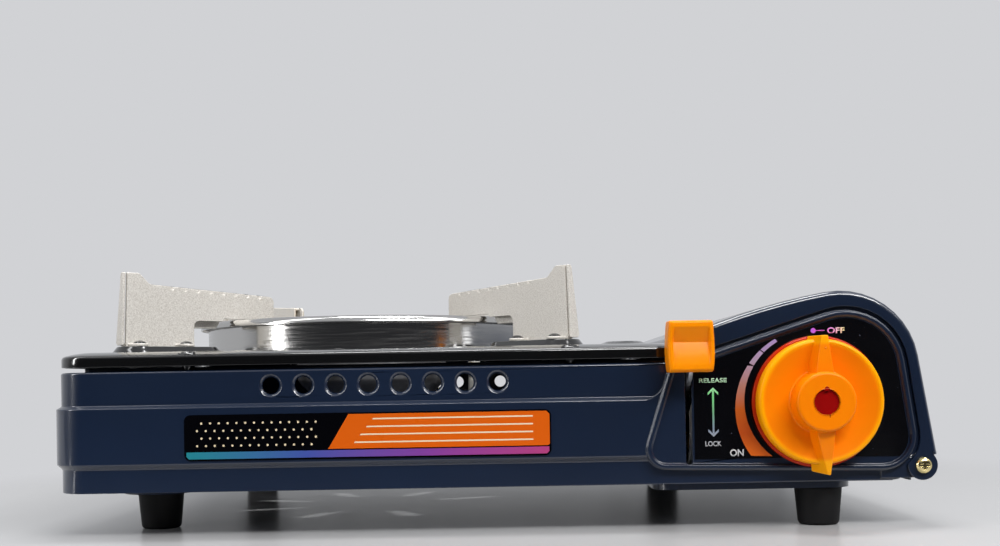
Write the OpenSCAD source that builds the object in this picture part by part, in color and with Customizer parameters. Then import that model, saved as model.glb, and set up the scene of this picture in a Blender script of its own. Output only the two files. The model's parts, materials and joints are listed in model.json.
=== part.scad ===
// Table-top gas stove with a side bay for a gas cartridge.
// Working frame of every module: X from the left edge, Y from the front face, Z from the table.
// place() then centres the stove on its own footprint.

/* [Body] */
// Overall width
body_w = 345; // [325:1:420]
// Depth of the body, without the knob
body_d = 258; // [240:1:320]
// Height of the body's lower edge above the table
shell_z0 = 17.8; // [16:0.1:24]
// Height of the body's side wall
shell_h = 47.2; // [40:0.1:60]
// Thickness of the body's sheet
sheet_t = 1; // [0.8:0.1:1.4]
// Radius of the body's upright corners
corner_r = 14; // [8:0.5:20]
// Step between the middle band and the two others
band_step = 2; // [1:0.1:3]
// Width of the body's inward top flange
top_flange_w = 10; // [6:0.5:12]

/* [Vent holes] */
// Number of holes in a row
vent_n = 8; // [4:1:10]
// Spacing of the holes
vent_pitch = 12.6; // [10:0.1:15]
// Radius of a hole
vent_r = 3.3; // [2:0.1:4]
// Distance of the first hole from the left edge
vent_x0 = 86.9; // [40:0.1:100]

/* [Name label] */
// Distance of the label from the left edge
label_x0 = 53.7; // [40:0.1:70]
// Width of the label
label_w = 141.8; // [100:0.1:150]
// Height of the label
label_h = 17.8; // [12:0.1:19]

/* [Control panel] */
// Distance of the knob's axis from the right edge
knob_from_right = 47; // [45:0.5:50]
// Height of the knob's axis above the table
knob_z = 49; // [46:0.5:52]
// Gap between the panel and the cover's flange
panel_gap = 1.6; // [0.8:0.1:2.5]
// Distance of the lever's slot from the right edge
slot_from_right = 96.2; // [94:0.1:98]
// Width of the lever's slot
slot_w = 2.5; // [2.2:0.1:3.5]

/* [Cartridge cover] */
// Thickness of the cover's sheet
cover_t = 1; // [0.8:0.1:1.4]
// Distance of the hinge axis from the right edge
hinge_from_right = 6; // [5.5:0.1:7]
// Height of the hinge axis above the table
hinge_z = 23.6; // [22:0.1:26]
// Radius of the cover's hinge ear
ear_r = 5.8; // [5:0.1:6]
// Radius of the bend between the cover's crown and its flanges
cover_edge_r = 2.2; // [1.5:0.1:2.4]

/* [Knob and lever] */
// Radius of the knob's skirt
knob_r = 25.5; // [20:0.1:26]
// Distance from the panel to the knob's front face
knob_h = 16.5; // [12:0.1:20]
// Angle that the lever swings through
lever_swing = 28; // [20:1:32]
// Distance of the lever's pivot behind the front face
lever_pivot_y = 60; // [50:1:66]
// Height of the lever's pivot above the table
lever_pivot_z = 44; // [42:0.5:46]

/* [Top plate] */
// Distance of the plate's right edge from the body's right edge
plate_from_right = 95.4; // [95:0.1:104]
// Height of the plate's lip
plate_lip_h = 4.6; // [3:0.1:6]
// Height of the plate's flat deck above its lip
deck_rise = 1.45; // [0.8:0.05:2]
// Thickness of the plate's sheet
plate_t = 1; // [0.8:0.1:1.4]
// Height of the raised pads above the plate's deck
pad_h = 2.85; // [2:0.05:4]
// Half the width of a pad's flat top
pad_w = 8.2; // [7:0.1:10]
// Height of the raised rib beside the cover above the plate's deck
rib_h = 1.25; // [1:0.05:2]

/* [Burner] */
// Distance of the burner's centre from the left edge
burner_x = 113; // [111:0.5:121]
// Distance of the burner's centre from the front face
burner_y = 125; // [122:1:140]
// Radius of the burner head
burner_r = 36; // [30:0.5:42]
// Inner radius of the windshield ring
ring_r = 76.8; // [70:0.1:78]
// Height of the windshield ring above the plate's deck
ring_h = 15.05; // [12:0.05:18]
// Radius of the ring's rolled rim
rim_r = 3.2; // [2.5:0.1:4]

/* [Pan supports] */
// Distance of the support's fold from the burner's centre
support_r = 131; // [124:0.5:134]
// Distance of the support's inner end from the burner's centre
support_inner_r = 57.5; // [45:0.5:65]
// Height of the support's tip above its foot
support_h = 30.8; // [26:0.1:36]
// Thickness of the support's sheet
support_t = 1.2; // [1:0.1:1.6]
// Distance between the two folded sides of an arm, outside to outside
arm_w = 4.6; // [4:0.1:6]
// How far a support's outer edge leans outwards from its tip to its foot
support_lean = 1.2; // [0:0.1:2]
// Number of small dents along the pan edge
dent_n = 8; // [4:1:8]

/* [Feet] */
// Height of a foot
foot_h = 15; // [12:0.5:20]
// Radius of a foot at the top
foot_r = 9.3; // [7:0.1:11]

/* [Gas cartridge] */
// Radius of the cartridge that the bay takes
can_r = 34.9; // [34:0.1:35.2]
// Length of the cartridge that the bay takes
can_l = 185; // [175:1:188]

/* [Hidden] */

$fn = 64;
eps = 0.01;
gap = 0.3;          // between pieces that move past each other
run = 0.05;         // radial clearance of a shaft in its bore

navy = [0.06, 0.09, 0.17];
enamel = [0.03, 0.03, 0.035];
steel = [0.75, 0.75, 0.76];
zinc = [0.62, 0.63, 0.65];
orange = [0.98, 0.55, 0.03];
brass = [0.78, 0.62, 0.3];

// --- shared places -------------------------------------------------------------------------------
shell_z1 = shell_z0 + shell_h;
pan_t = 0.8;
pan_in = band_step + sheet_t;           // the pan's rim stands inside the lower band
pan_floor = shell_z0 + pan_t;
trough_top = foot_h + pan_t;            // floor of the deeper right part of the pan
bay_x = body_w - 101.5;                 // left face of the divider
divider_t = 1;
right_wall_x = body_w - 10;
knob_x = body_w - knob_from_right;
slot_x = body_w - slot_from_right;
hinge_x = body_w - hinge_from_right;
can_x = body_w - 49;
cradle_t = 0.8;
can_z = trough_top + cradle_t + 1.3 + can_r;
socket_y = 44;                          // rear face of the regulator's socket
socket_depth = 8;
socket_r = 18.2;
collar_l = 6;                           // how far the cartridge's collar enters the socket

// Circles [x, z, r] whose outer tangents draw the control panel, counter-clockwise
panel_circles = [
    [body_w - 105, shell_z0 + 13.7, 8],
    [body_w - 21.5, shell_z0 + 17.2, 13],
    [body_w - 35.5, shell_z0 + 43.2, 23],
    [body_w - 100, shell_z0 + 42.7, 4]];

// The cover's outline: lower corners, round top right, long shallow arch, small top left corner
arch_c = [body_w - 37, shell_z0 + 43.2];
arch_r = 30.8;
crown_r = 260;
crown_a0 = 100;
crown_a1 = 111.5;
crown_c = arch_c - (crown_r - arch_r) * [cos(crown_a0), sin(crown_a0)];
left_corner_r = 1.5;
left_c = crown_c + (crown_r - left_corner_r) * [cos(crown_a1), sin(crown_a1)];
cover_circles = [
    [left_c.x, shell_z0, left_corner_r],
    [body_w - 6, shell_z0 + 9.2, 6],
    [arch_c.x, arch_c.y, arch_r],
    [crown_c.x, crown_c.y, crown_r],
    [left_c.x, left_c.y, left_corner_r]];
cover_x0 = left_c.x - left_corner_r;    // outer face of the cover's left wall
cover_left_z = shell_z1 + gap;
cover_right_z = hinge_z + 4;
hinge_head_h = 1.9;
hinge_head = gap + hinge_head_h;        // how far the hinge screws stand out of the cover

feet_xy = [[33, 40], [body_w - 43, 15], [38, body_d - 33], [body_w - 78, body_d - 33]];

plate_x0 = 1.8;
plate_x1 = body_w - plate_from_right;
plate_y0 = 2.5;
plate_y1 = body_d - 2.5;
plate_z0 = shell_z1 + 1.9;
plate_top = plate_z0 + plate_lip_h;
deck_z = plate_top + deck_rise;
pad_top = deck_z + pad_h;
well_r = 64;                            // the plate's opening round the burner
ring_z1 = deck_z + ring_h;              // top of the windshield's rim
ring_t = 0.8;

lever_t = 1.6;
lever_x = slot_x - lever_t / 2;
slot_z0 = 25.2;
slot_z1 = lever_pivot_z + 18.6;
tab_z0 = lever_pivot_z + 17;
tab_h = 19.6;
tab_w = 18;
drive_r = 10.4;                         // radius of the drive pin's path round the pivot
pusher_travel = drive_r * lever_swing * PI / 180;
pusher_x = slot_x + 3.2;
pusher_t = 1.2;

spindle_r = 3;
cam_r0 = 7;
cam_lift = 5;
knob_turn = 125;

pipe_z = 31.5;
pipe_r = 2.5;
pipe_x = bay_x + 16;
inlet_r = 9.5;
burner_z0 = pipe_z - inlet_r;
head_z = shell_z1 - 3;
cap_z = head_z + 10;

// --- helpers ---------------------------------------------------------------------------------------
module place() translate([-body_w / 2, -(body_d + hinge_head - knob_h) / 2, 0]) children();

module block(a, b) translate(a) cube(b - a);

// Outward normal of the outer tangent between two circles of a counter-clockwise chain
function tangent_normal(p, q) =
    let (v = [q.x - p.x, q.y - p.y], d = norm(v), u = v / d, a = (p.z - q.z) / d)
    a * u + sqrt(max(0, 1 - a * a)) * [u.y, -u.x];
function heading(v) = atan2(v.y, v.x);
function arc_points(c, r, a0, a1, step) =
    let (k = max(1, ceil((a1 - a0) / step)))
    [for (j = [0:k]) c + r * [cos(a0 + (a1 - a0) * j / k), sin(a0 + (a1 - a0) * j / k)]];
// Closed outline round a chain of circles, grown outwards by g
function outline(chain, g = 0, step = 10) = let (n = len(chain)) [
    for (i = [0:n - 1]) let (
        p = chain[i],
        a0 = heading(tangent_normal(chain[(i + n - 1) % n], p)),
        a1 = heading(tangent_normal(p, chain[(i + 1) % n])),
        turn = p.z > 100 ? 2 : step)
    each arc_points([p.x, p.y], p.z + g, a0, a1 < a0 - eps ? a1 + 360 : max(a1, a0), turn)];

// Draws a shape given in X and Z as a plate from y0 to y1
module upright(y0, y1) translate([0, y1, 0]) rotate([90, 0, 0]) linear_extrude(y1 - y0) children();
// Stands children made along Z so that they point along +Y, at (x, y, z)
module along_y(x, y, z) translate([x, y, z]) rotate([-90, 0, 0]) children();
module along_x(x, y, z) translate([x, y, z]) rotate([0, 90, 0]) children();
module rear_mirror() translate([0, body_d, 0]) mirror([0, 1, 0]) children();
module front_and_rear() {
    children();
    rear_mirror() children();
}

module ring(r0, r1, h) difference() {
    cylinder(r = r1, h = h);
    translate([0, 0, -1]) cylinder(r = r0, h = h + 2);
}
module rounded_block(x0, y0, x1, y1, z0, z1, r) translate([0, 0, z0]) linear_extrude(z1 - z0)
    rounded_square(x0, y0, x1, y1, r);
module rounded_square(x0, y0, x1, y1, r) union() {
    translate([x0 + r, y0]) square([x1 - x0 - 2 * r, y1 - y0]);
    translate([x0, y0 + r]) square([x1 - x0, y1 - y0 - 2 * r]);
    for (x = [x0 + r, x1 - r], y = [y0 + r, y1 - r]) translate([x, y]) circle(r);
}

// Sweeps a wall profile [inset, height] round a rectangle with round corners of radius r
module wall_front(profile, x0, x1) translate([x0, 0, 0]) rotate([90, 0, 90])
    linear_extrude(x1 - x0) polygon(profile);
module wall_left(profile, y0, y1) translate([0, y1, 0]) rotate([90, 0, 0])
    linear_extrude(y1 - y0) polygon(profile);
module wall_corner(profile, r) translate([r, r, 0]) rotate([0, 0, 180])
    rotate_extrude(angle = 90) polygon([for (p = profile) [r - p.x, p.y]]);

// Round tube along a route of points
function unit(v) = v / norm(v);
function tangent_at(route, i) = unit(route[min(i + 1, len(route) - 1)] - route[max(i - 1, 0)]);
function tube_ring(route, i, r, sides) =
    let (t = tangent_at(route, i), u = unit(cross(t, [0.35, 0.93, 0.1])), v = cross(t, u))
    [for (k = [0:sides - 1]) route[i] + r * (u * cos(k * 360 / sides) + v * sin(k * 360 / sides))];
module tube(route, r, sides) {
    n = len(route);
    polyhedron(points = [for (i = [0:n - 1]) each tube_ring(route, i, r, sides)], faces = concat(
        [[for (k = [0:sides - 1]) k]],
        [[for (k = [0:sides - 1]) n * sides - 1 - k]],
        [for (i = [0:n - 2], k = [0:sides - 1]) each [
            [i * sides + k, (i + 1) * sides + k, (i + 1) * sides + (k + 1) % sides],
            [i * sides + k, (i + 1) * sides + (k + 1) % sides, i * sides + (k + 1) % sides]]]));
}

// --- body ------------------------------------------------------------------------------------------
upstand_h = 1.6;                        // turned-up inner edge of the top flange
function band_edge(inset) = [
    [band_step + inset, shell_z0],
    [band_step + inset, shell_z0 + 9.2],
    [inset, shell_z0 + 11.1],
    [inset, shell_z0 + 32.8],
    [band_step + inset, shell_z0 + 34]];
shell_profile = concat(band_edge(0),
    [[band_step, shell_z1 - 0.6], [band_step + 0.6, shell_z1],
     [band_step + top_flange_w - sheet_t, shell_z1], [band_step + top_flange_w - sheet_t, shell_z1 + upstand_h],
     [band_step + top_flange_w, shell_z1 + upstand_h], [band_step + top_flange_w, shell_z1 - sheet_t],
     [band_step + sheet_t, shell_z1 - sheet_t]],
    [for (i = [4:-1:0]) band_edge(sheet_t)[i]]);

bead_w = 2.4;
module panel_shape(g = 0) polygon(outline(panel_circles, g));
module bead() for (layer = [[0.6, 0], [1.1, 0.5]])
    upright(-layer[0], eps) difference() {
        panel_shape(-layer[1]);
        panel_shape(-bead_w + layer[1]);
    }
module panel_plate() {
    upright(0, sheet_t) panel_shape();
    upright(0, band_step + sheet_t) difference() {
        panel_shape();
        panel_shape(-sheet_t);
    }
    bead();
}
module vent_row(holes) for (i = [0:vent_n - 1])
    along_y(vent_x0 + i * vent_pitch, band_step, shell_z0 + 40.9)
        if (holes) translate([0, 0, -1]) cylinder(r = vent_r + 1.15, h = 5);
        else rotate_extrude() polygon([[vent_r, sheet_t], [vent_r + 1.15, 0], [vent_r + 1.15, sheet_t],
            [vent_r + 0.6, sheet_t + 0.8], [vent_r, sheet_t + 0.8]]);
// Bracket behind the cover's ear, bent from the lower band
module hinge_lug() upright(cover_t + gap, cover_t + gap + 1.6) difference() {
    union() {
        translate([hinge_x, hinge_z]) circle(r = ear_r - 0.8);
        translate([body_w - 22, shell_z0 + 1]) square([22 - hinge_from_right, hinge_z + 2 - shell_z0]);
    }
    translate([hinge_x, hinge_z]) circle(r = 2);
}
// Part of the front sheet that closes the gap between the panel and the cover's flange
collar_w = 5;
module cover_collar() upright(cover_t + 0.5, cover_t + 0.5 + sheet_t) difference() {
    intersection() {
        panel_shape(collar_w);
        polygon(outline(cover_circles, -cover_t - 0.5));
    }
    panel_shape(-sheet_t);
    square([hinge_x - 12, cover_left_z - 2]);
    square([body_w + 10, cover_right_z]);
}
// Concave corner where the middle band's upper edge runs into the panel's bead
fillet_r = 9.6;
band_top_z = shell_z0 + 32.8;
module band_fillet() {
    n = tangent_normal(panel_circles[3], panel_circles[0]);
    edge = [panel_circles[3].x, panel_circles[3].y] + panel_circles[3].z * n;
    // Centre that lies fillet_r from the bead and from the band's edge
    z = band_top_z + fillet_r;
    x = edge.x + (fillet_r - (z - edge.y) * n.y) / n.x;
    upright(0, band_step + sheet_t / 2) difference() {
        polygon([[x, band_top_z - 0.4], [edge.x + 2, band_top_z - 0.4], [edge.x + 2, z], [x, z]]);
        translate([x, z]) circle(r = fillet_r + 0.1);
        panel_shape(-0.5);
    }
}
low_band = [[band_step, shell_z0], [band_step, shell_z0 + 9.2], [band_step + sheet_t, shell_z0 + 9.2],
    [band_step + sheet_t, shell_z0]];
module body_shell() color(navy) place() {
    difference() {
        union() {
            front_and_rear() {
                difference() {
                    wall_front(shell_profile, corner_r, bay_x + 1);
                    upright(sheet_t, 20) panel_shape(-sheet_t + eps);
                    vent_row(true);
                }
                vent_row(false);
                wall_front(low_band, bay_x, body_w - 17);
                panel_plate();
                cover_collar();
                band_fillet();
                wall_corner(shell_profile, corner_r);
                hinge_lug();
            }
            wall_left(shell_profile, corner_r, body_d - corner_r);
            block([right_wall_x - sheet_t, band_step, shell_z0],
                [right_wall_x, body_d - band_step, shell_z0 + 26]);
        }
        upright(-3, 4) {
            translate([slot_x - slot_w / 2, slot_z0 + slot_w / 2]) square([slot_w, slot_z1 - slot_z0 - slot_w]);
            for (z = [slot_z0 + slot_w / 2, slot_z1 - slot_w / 2])
                translate([slot_x, z]) circle(r = slot_w / 2);
        }
        along_y(knob_x, -3, knob_z) cylinder(r = 5, h = 7);
        for (z = [-17, 17]) along_y(knob_x, -3, knob_z + z) cylinder(r = 1.5, h = 7);
        for (s = side_screws) along_x(s.x, s.y, s.z) cylinder(r = 1.5, h = 4, center = true);
    }
}

screw_z = shell_z0 + 4;
side_screws = [[band_step + 0.5, 60, screw_z], [band_step + 0.5, body_d - 60, screw_z],
    [right_wall_x - 0.5, 60, screw_z], [right_wall_x - 0.5, body_d - 60, screw_z]];

pan_rim_h = 7;
pan_profile = [[pan_in, shell_z0], [pan_in, shell_z0 + pan_rim_h], [pan_in + pan_t, shell_z0 + pan_rim_h],
    [pan_in + pan_t, shell_z0]];
pan_x1 = right_wall_x - sheet_t;
trough = [bay_x - 7.5, pan_in + 3, pan_x1 - 20, body_d - pan_in - 3];
module pan_dips(lower) {
    g = lower ? 0 : pan_t;
    for (f = [feet_xy[0], feet_xy[2]]) translate([f.x, f.y, foot_h + g])
        cylinder(r1 = 15 - g, r2 = 18.5 - g, h = shell_z0 - foot_h + 0.4);
    rounded_block(trough[0] + g, trough[1] + g, trough[2] - g, trough[3] - g,
        foot_h + g, shell_z0 + (lower ? 0.4 : 3), 9 - g);
}
module base_pan() color(navy) place() difference() {
    union() {
        rounded_block(pan_in, pan_in, pan_x1, body_d - pan_in, shell_z0, pan_floor, corner_r - pan_in);
        pan_dips(true);
        difference() {
            rounded_block(pan_in, pan_in, pan_x1, body_d - pan_in, shell_z0, shell_z0 + pan_rim_h,
                corner_r - pan_in);
            rounded_block(pan_in + pan_t, pan_in + pan_t, pan_x1 - pan_t, body_d - pan_in - pan_t,
                pan_floor - eps, shell_z0 + pan_rim_h + 1, corner_r - pan_in - pan_t);
        }
    }
    pan_dips(false);
    for (i = [0:7]) translate([burner_x, burner_y, shell_z0 - 1]) rotate([0, 0, 22.5 + i * 45])
        rounded_block(36, -2.5, 62, 2.5, 0, 3, 2.4);
    for (f = feet_xy) translate([f.x, f.y, foot_h - 1]) cylinder(r = 1.8, h = 5);
    for (s = side_screws) along_x(s.x, s.y, s.z) cylinder(r = 1.5, h = 4, center = true);
    for (s = [-1, 1]) translate([burner_x + s * 22, burner_y, shell_z0 - 1]) cylinder(r = 1.6, h = 4);
}

wire_hole = [30, trough_top + 5];
module bay_divider() color(zinc) place() difference() {
    union() {
        block([bay_x, pan_in + pan_t, trough_top],
            [bay_x + divider_t, body_d - pan_in - pan_t, shell_z1 - sheet_t]);
        block([bay_x, trough[1] + pan_t + 1, trough_top],
            [bay_x + 9, trough[3] - pan_t - 1, trough_top + 0.8]);
        block([bay_x - 9, band_step + top_flange_w, shell_z1 - sheet_t],
            [cover_x0 + cover_t + 5, body_d - band_step - top_flange_w, shell_z1]);
    }
    block([bay_x - 1, 0, 0], [bay_x + 2, trough[1] + pan_t + 0.2, pan_floor + 0.1]);
    block([bay_x - 1, trough[3] - pan_t - 0.2, 0], [bay_x + 2, body_d, pan_floor + 0.1]);
    along_x(bay_x - 1, pipe_cross_y, pipe_z) cylinder(r = 6, h = 4);
    along_x(bay_x - 1, wire_hole[0], wire_hole[1]) cylinder(r = 2, h = 4);
    along_x(bay_x - 1, lever_pivot_y, lever_pivot_z) cylinder(r = 2, h = 4);
    for (i = [0:5]) along_x(bay_x - 1, 110 + i * 18, shell_z0 + 35) cylinder(r = 4, h = 4);
}

module cartridge_cradle() color(zinc) place() difference() {
    union() {
        along_y(can_x, 62, can_z) rotate([0, 0, 35]) rotate_extrude(angle = 110)
            translate([can_r + 1, 0]) square([cradle_t, 160]);
        block([can_x - 8, 64, trough_top], [can_x + 8, 220, trough_top + cradle_t + 0.6]);
    }
    along_y(can_x, 60, can_z) cylinder(r = can_r + 1, h = 170);
    for (i = [0:3]) rounded_block(can_x - 5, 74 + i * 38, can_x + 5, 96 + i * 38, 0, can_z - 20, 4.8);
}

sticker_t = 0.3;
module control_sticker() color([0.02, 0.02, 0.03]) place() upright(-sticker_t, 0) difference() {
    panel_shape(-bead_w - 0.6);
    square([slot_x + slot_w / 2 + 0.8, 100]);
    square([body_w, shell_z0 + 9.6]);
    translate([knob_x, knob_z]) circle(r = 6);
    for (z = [-17, 17]) translate([knob_x, knob_z + z]) circle(r = 1.5);
}

label_z0 = shell_z0 + 12.2;
module name_label() color([0.75, 0.3, 0.06]) place() upright(-sticker_t, 0)
    rounded_square(label_x0, label_z0, label_x0 + label_w, label_z0 + label_h, 2.5);

module cross_recess(r, d) for (a = [0, 90]) rotate([0, 0, a])
    translate([-r, -r * 0.22, -eps]) cube([2 * r, r * 0.44, d + eps]);
// Screw along +Z: domed head with its top at z = 0, shank below it
module screw(head_r, head_h, shank_r, shank_l) difference() {
    union() {
        rotate_extrude() polygon([[0, 0], [head_r * 0.55, 0.05 * head_h], [head_r * 0.85, 0.3 * head_h],
            [head_r, 0.75 * head_h], [head_r, head_h], [0, head_h]]);
        translate([0, 0, head_h - eps]) cylinder(r = shank_r, h = shank_l + eps);
    }
    cross_recess(head_r * 0.55, head_h * 0.6);
}

module hinge_screws() color(brass) place() front_and_rear()
    along_y(hinge_x, -hinge_head, hinge_z) screw(3.1, hinge_head_h, 2, 8);

catch_w = 16;
catch_t = 0.5;
// Leaf spring on the divider's shelf, bowed towards the inside of the cover's left wall
module cover_catch() color(steel) place() translate([cover_x0 + cover_t, 0, shell_z1])
    upright((body_d - catch_w) / 2, (body_d + catch_w) / 2) polygon([
        [0.6, 0], [4.4, 0], [4.4, catch_t], [1.2, catch_t], [gap + catch_t, 2], [1.8, 4], [1.3, 4], [gap, 2]]);

module body_screws() color(steel) place() {
    for (y = [60, body_d - 60]) {
        along_x(0.4, y, screw_z) screw(2.9, band_step - 0.4, 1.5, 6);
        translate([right_wall_x + 1.6, y, screw_z]) rotate([0, -90, 0]) screw(2.9, 1.6, 1.5, 6);
    }
}

// --- feet ------------------------------------------------------------------------------------------
module foot(i) color([0.05, 0.05, 0.05]) place() translate([feet_xy[i].x, feet_xy[i].y, 0]) rotate_extrude()
    polygon([[4.2, 0], [foot_r - 2.2, 0], [foot_r - 1.5, 0.6], [foot_r - 1.2, 1.4], [foot_r, foot_h - 0.4],
        [foot_r - 0.3, foot_h], [1.8, foot_h], [1.8, 5], [4.2, 5]]);
module foot_screws() color(steel) place() for (f = feet_xy)
    translate([f.x, f.y, 3.2]) screw(3.6, 1.8, 1.8, foot_h - 3.2);

// --- regulator ---------------------------------------------------------------------------------------
block_y0 = 14;
cell_x0 = bay_x + 15.5;
cell_z = knob_z + 3;
cell_y = 30;
seal_r = 7;
seal_t = 1.6;
module regulator_body() color(zinc) place() difference() {
    union() {
        along_y(can_x, 24, can_z) cylinder(r = 21, h = socket_y - 24);
        along_y(can_x, 21, can_z) cylinder(r1 = 15, r2 = 21, h = 3 + eps);
        block([knob_x - 13, block_y0, knob_z - 14], [knob_x + 13, 26, knob_z + 14]);
        block([knob_x - 6, block_y0, knob_z - 22], [knob_x + 6, block_y0 + 5, knob_z + 22]);
        for (z = [-17, 17]) along_y(knob_x, sheet_t, knob_z + z) cylinder(r = 4, h = block_y0 - sheet_t + 1);
        along_x(cell_x0, cell_y, cell_z) cylinder(r = 16, h = 7);
        along_x(cell_x0 + 6, cell_y, cell_z) cylinder(r1 = 12, r2 = 9, h = 12);
        along_y(pipe_x, 24, pipe_z) cylinder(r = 4.2, h = 20);
        block([cell_x0, 24, pipe_z], [cell_x0 + 5, 38, cell_z - 8]);
    }
    along_y(can_x, socket_y - socket_depth, can_z) cylinder(r = socket_r, h = socket_depth + 1);
    along_y(can_x, socket_y - socket_depth - seal_t, can_z) cylinder(r = seal_r, h = seal_t + 1);
    along_y(can_x, socket_y - socket_depth - 8, can_z) cylinder(r = 4.2, h = 9);
    along_y(knob_x, block_y0 - 1, knob_z) cylinder(r = spindle_r + run, h = 10);
    for (z = [-17, 17]) along_y(knob_x, 0, knob_z + z) cylinder(r = 1.5, h = 10);
    along_y(pipe_x, 30, pipe_z) cylinder(r = pipe_r, h = 20);
}
module regulator_cap() color(steel) place() difference() {
    translate([cell_x0, cell_y, cell_z]) rotate([0, -90, 0]) rotate_extrude()
        polygon([[0, 0], [16, 0], [16, 1.2], [11.5, 1.2], [10, 5], [8.5, 6], [3, 6], [3, 4.6], [0, 4.6]]);
    for (a = [45:90:359]) translate([cell_x0 - 7, cell_y, cell_z]) rotate([a, 0, 0]) translate([0, 13.6, 0])
        rotate([0, 90, 0]) cylinder(r = 1.1, h = 10);
}
module cap_screws() color(steel) place() for (a = [45:90:359])
    translate([cell_x0 - 2.6, cell_y, cell_z]) rotate([a, 0, 0]) translate([0, 13.6, 0])
        rotate([0, 90, 0]) screw(2, 1.4, 1.1, 1.2);
module regulator_screws() color(steel) place() for (z = [-17, 17])
    along_y(knob_x, -sticker_t - 1.3, knob_z + z) screw(2.8, 1.3, 1.5, 8);
module socket_seal() color([0.08, 0.08, 0.08]) place()
    along_y(can_x, socket_y - socket_depth - seal_t, can_z) ring(4.2, seal_r, seal_t);

// --- igniter ---------------------------------------------------------------------------------------
igniter_y = 7.6;
igniter_x0 = cell_x0 - 4;
igniter_l = 26;
igniter_r = 5.5;
plunger_r = 3;
plunger_tip = knob_x - cam_r0 - 0.5;
module igniter_body() color([0.9, 0.9, 0.88]) place() difference() {
    union() {
        along_x(igniter_x0, igniter_y, knob_z) cylinder(r = igniter_r, h = igniter_l);
        along_x(igniter_x0 - 1.5, igniter_y, knob_z) cylinder(r = 1.4, h = 2);
    }
    along_x(igniter_x0 + 8, igniter_y, knob_z) cylinder(r = plunger_r + run, h = igniter_l);
}
module igniter_clip() color(zinc) place() {
    along_x(igniter_x0 + 14, igniter_y, knob_z) ring(igniter_r, 6.4, 8);
    difference() {
        block([igniter_x0 + 14, block_y0 - 1.2, knob_z - 3.5], [knob_x - 8, block_y0, knob_z + 3.5]);
        along_x(igniter_x0 + 13, igniter_y, knob_z) cylinder(r = igniter_r, h = 40);
    }
}
module igniter_plunger() color([0.85, 0.2, 0.12]) place() {
    along_x(igniter_x0 + 16, igniter_y, knob_z) cylinder(r = plunger_r, h = plunger_tip - 2 - igniter_x0 - 16);
    along_x(plunger_tip - 2 - eps, igniter_y, knob_z) cylinder(r1 = plunger_r, r2 = 1, h = 2 + eps);
}

// The wire lies on the pan, passes under the lever and climbs beside the burner
wire_r = 1.1;
igniter_end = [igniter_x0 - 1.5, igniter_y, knob_z];
electrode_x = burner_x + 50;
electrode_z0 = pan_floor + 22;
wire_route = concat(
    [igniter_end, igniter_end + [-1.4, 0, -0.2], igniter_end + [-2.4, 0.6, -4], [igniter_end.x - 2, 10, 36],
     [igniter_end.x - 2, 13, 27], [igniter_end.x - 2.4, 20, wire_hole[1] + 1]],
    [[bay_x + 7, 27, wire_hole[1]], [bay_x + 4, 29.6, wire_hole[1]], [bay_x + 1, 30, wire_hole[1]],
     [bay_x - 4, 30.4, wire_hole[1] + 0.6], [bay_x - 12, 34, pan_floor + 3], [bay_x - 34, 70, pan_floor + 1.6],
     [bay_x - 38, 100, pan_floor + 1.4], [electrode_x + 27, burner_y + 3, pan_floor + 2],
     [electrode_x + 10, burner_y + 11, pan_floor + 4], [electrode_x + 2, burner_y + 8, pan_floor + 10],
     [electrode_x, burner_y + 2, pan_floor + 16], [electrode_x, burner_y, electrode_z0]]);
module ignition_wire() color([0.9, 0.9, 0.9]) place() tube(wire_route, wire_r, 8);

module electrode_insulator() color([0.93, 0.92, 0.88]) place() translate([electrode_x, burner_y, electrode_z0])
    difference() {
        union() {
            cylinder(r = 3, h = 28);
            translate([0, 0, 8]) cylinder(r = 4, h = 4);
        }
        translate([0, 0, 3]) cylinder(r = 1, h = 30);
    }
module electrode_rod() color(steel) place() {
    translate([electrode_x, burner_y, electrode_z0 + 3]) cylinder(r = 1, h = 33);
    translate([electrode_x, burner_y, electrode_z0 + 36]) sphere(r = 1);
    along_x(electrode_x - 9, burner_y, electrode_z0 + 36) cylinder(r = 1, h = 9);
}
module electrode_bracket() color(zinc) place() difference() {
    block([burner_x + burner_r - 4, burner_y - 5, head_z + 1], [electrode_x + 6, burner_y + 5, head_z + 2.2]);
    translate([electrode_x, burner_y, head_z]) cylinder(r = 3, h = 4);
    translate([burner_x, burner_y, head_z]) cylinder(r = burner_r, h = 4);
}

// --- gas path ----------------------------------------------------------------------------------------
bend_r = 12;
elbow_r = 3.2;
elbow_lap = 1;
bend_c = [pipe_x - bend_r, 74.3];
to_burner = [burner_x, burner_y] - bend_c;
// The pipe turns from +Y until it points at the burner
bend_a = heading(to_burner) - atan2(sqrt(to_burner * to_burner - bend_r * bend_r), bend_r);
jet_a = bend_a + 90;
bend_end = bend_c + bend_r * [cos(bend_a), sin(bend_a)];
pipe_cross_y = bend_end.y - (bend_end.x - bay_x) * tan(jet_a);
jet_start = bend_end + 20 * [cos(jet_a), sin(jet_a)];
module gas_pipe() color(brass) place() {
    along_y(pipe_x, 30, pipe_z) cylinder(r = pipe_r, h = bend_c.y - 30 + elbow_lap);
    translate([bend_c.x, bend_c.y, pipe_z]) rotate_extrude(angle = bend_a)
        translate([bend_r, 0]) circle(elbow_r);
    translate([bend_end.x, bend_end.y, pipe_z]) rotate([0, 90, jet_a])
        translate([0, 0, -elbow_lap]) cylinder(r = pipe_r, h = 20 + elbow_lap);
}
module pipe_nut() color(brass) place() along_y(pipe_x, socket_y, pipe_z) difference() {
    cylinder(r = 5.4, h = 6, $fn = 6);
    translate([0, 0, -1]) cylinder(r = pipe_r, h = 8);
}
module on_jet() translate([jet_start.x, jet_start.y, pipe_z])
    rotate([0, 90, jet_a]) children();
tube_l = norm([burner_x, burner_y] - jet_start);
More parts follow.
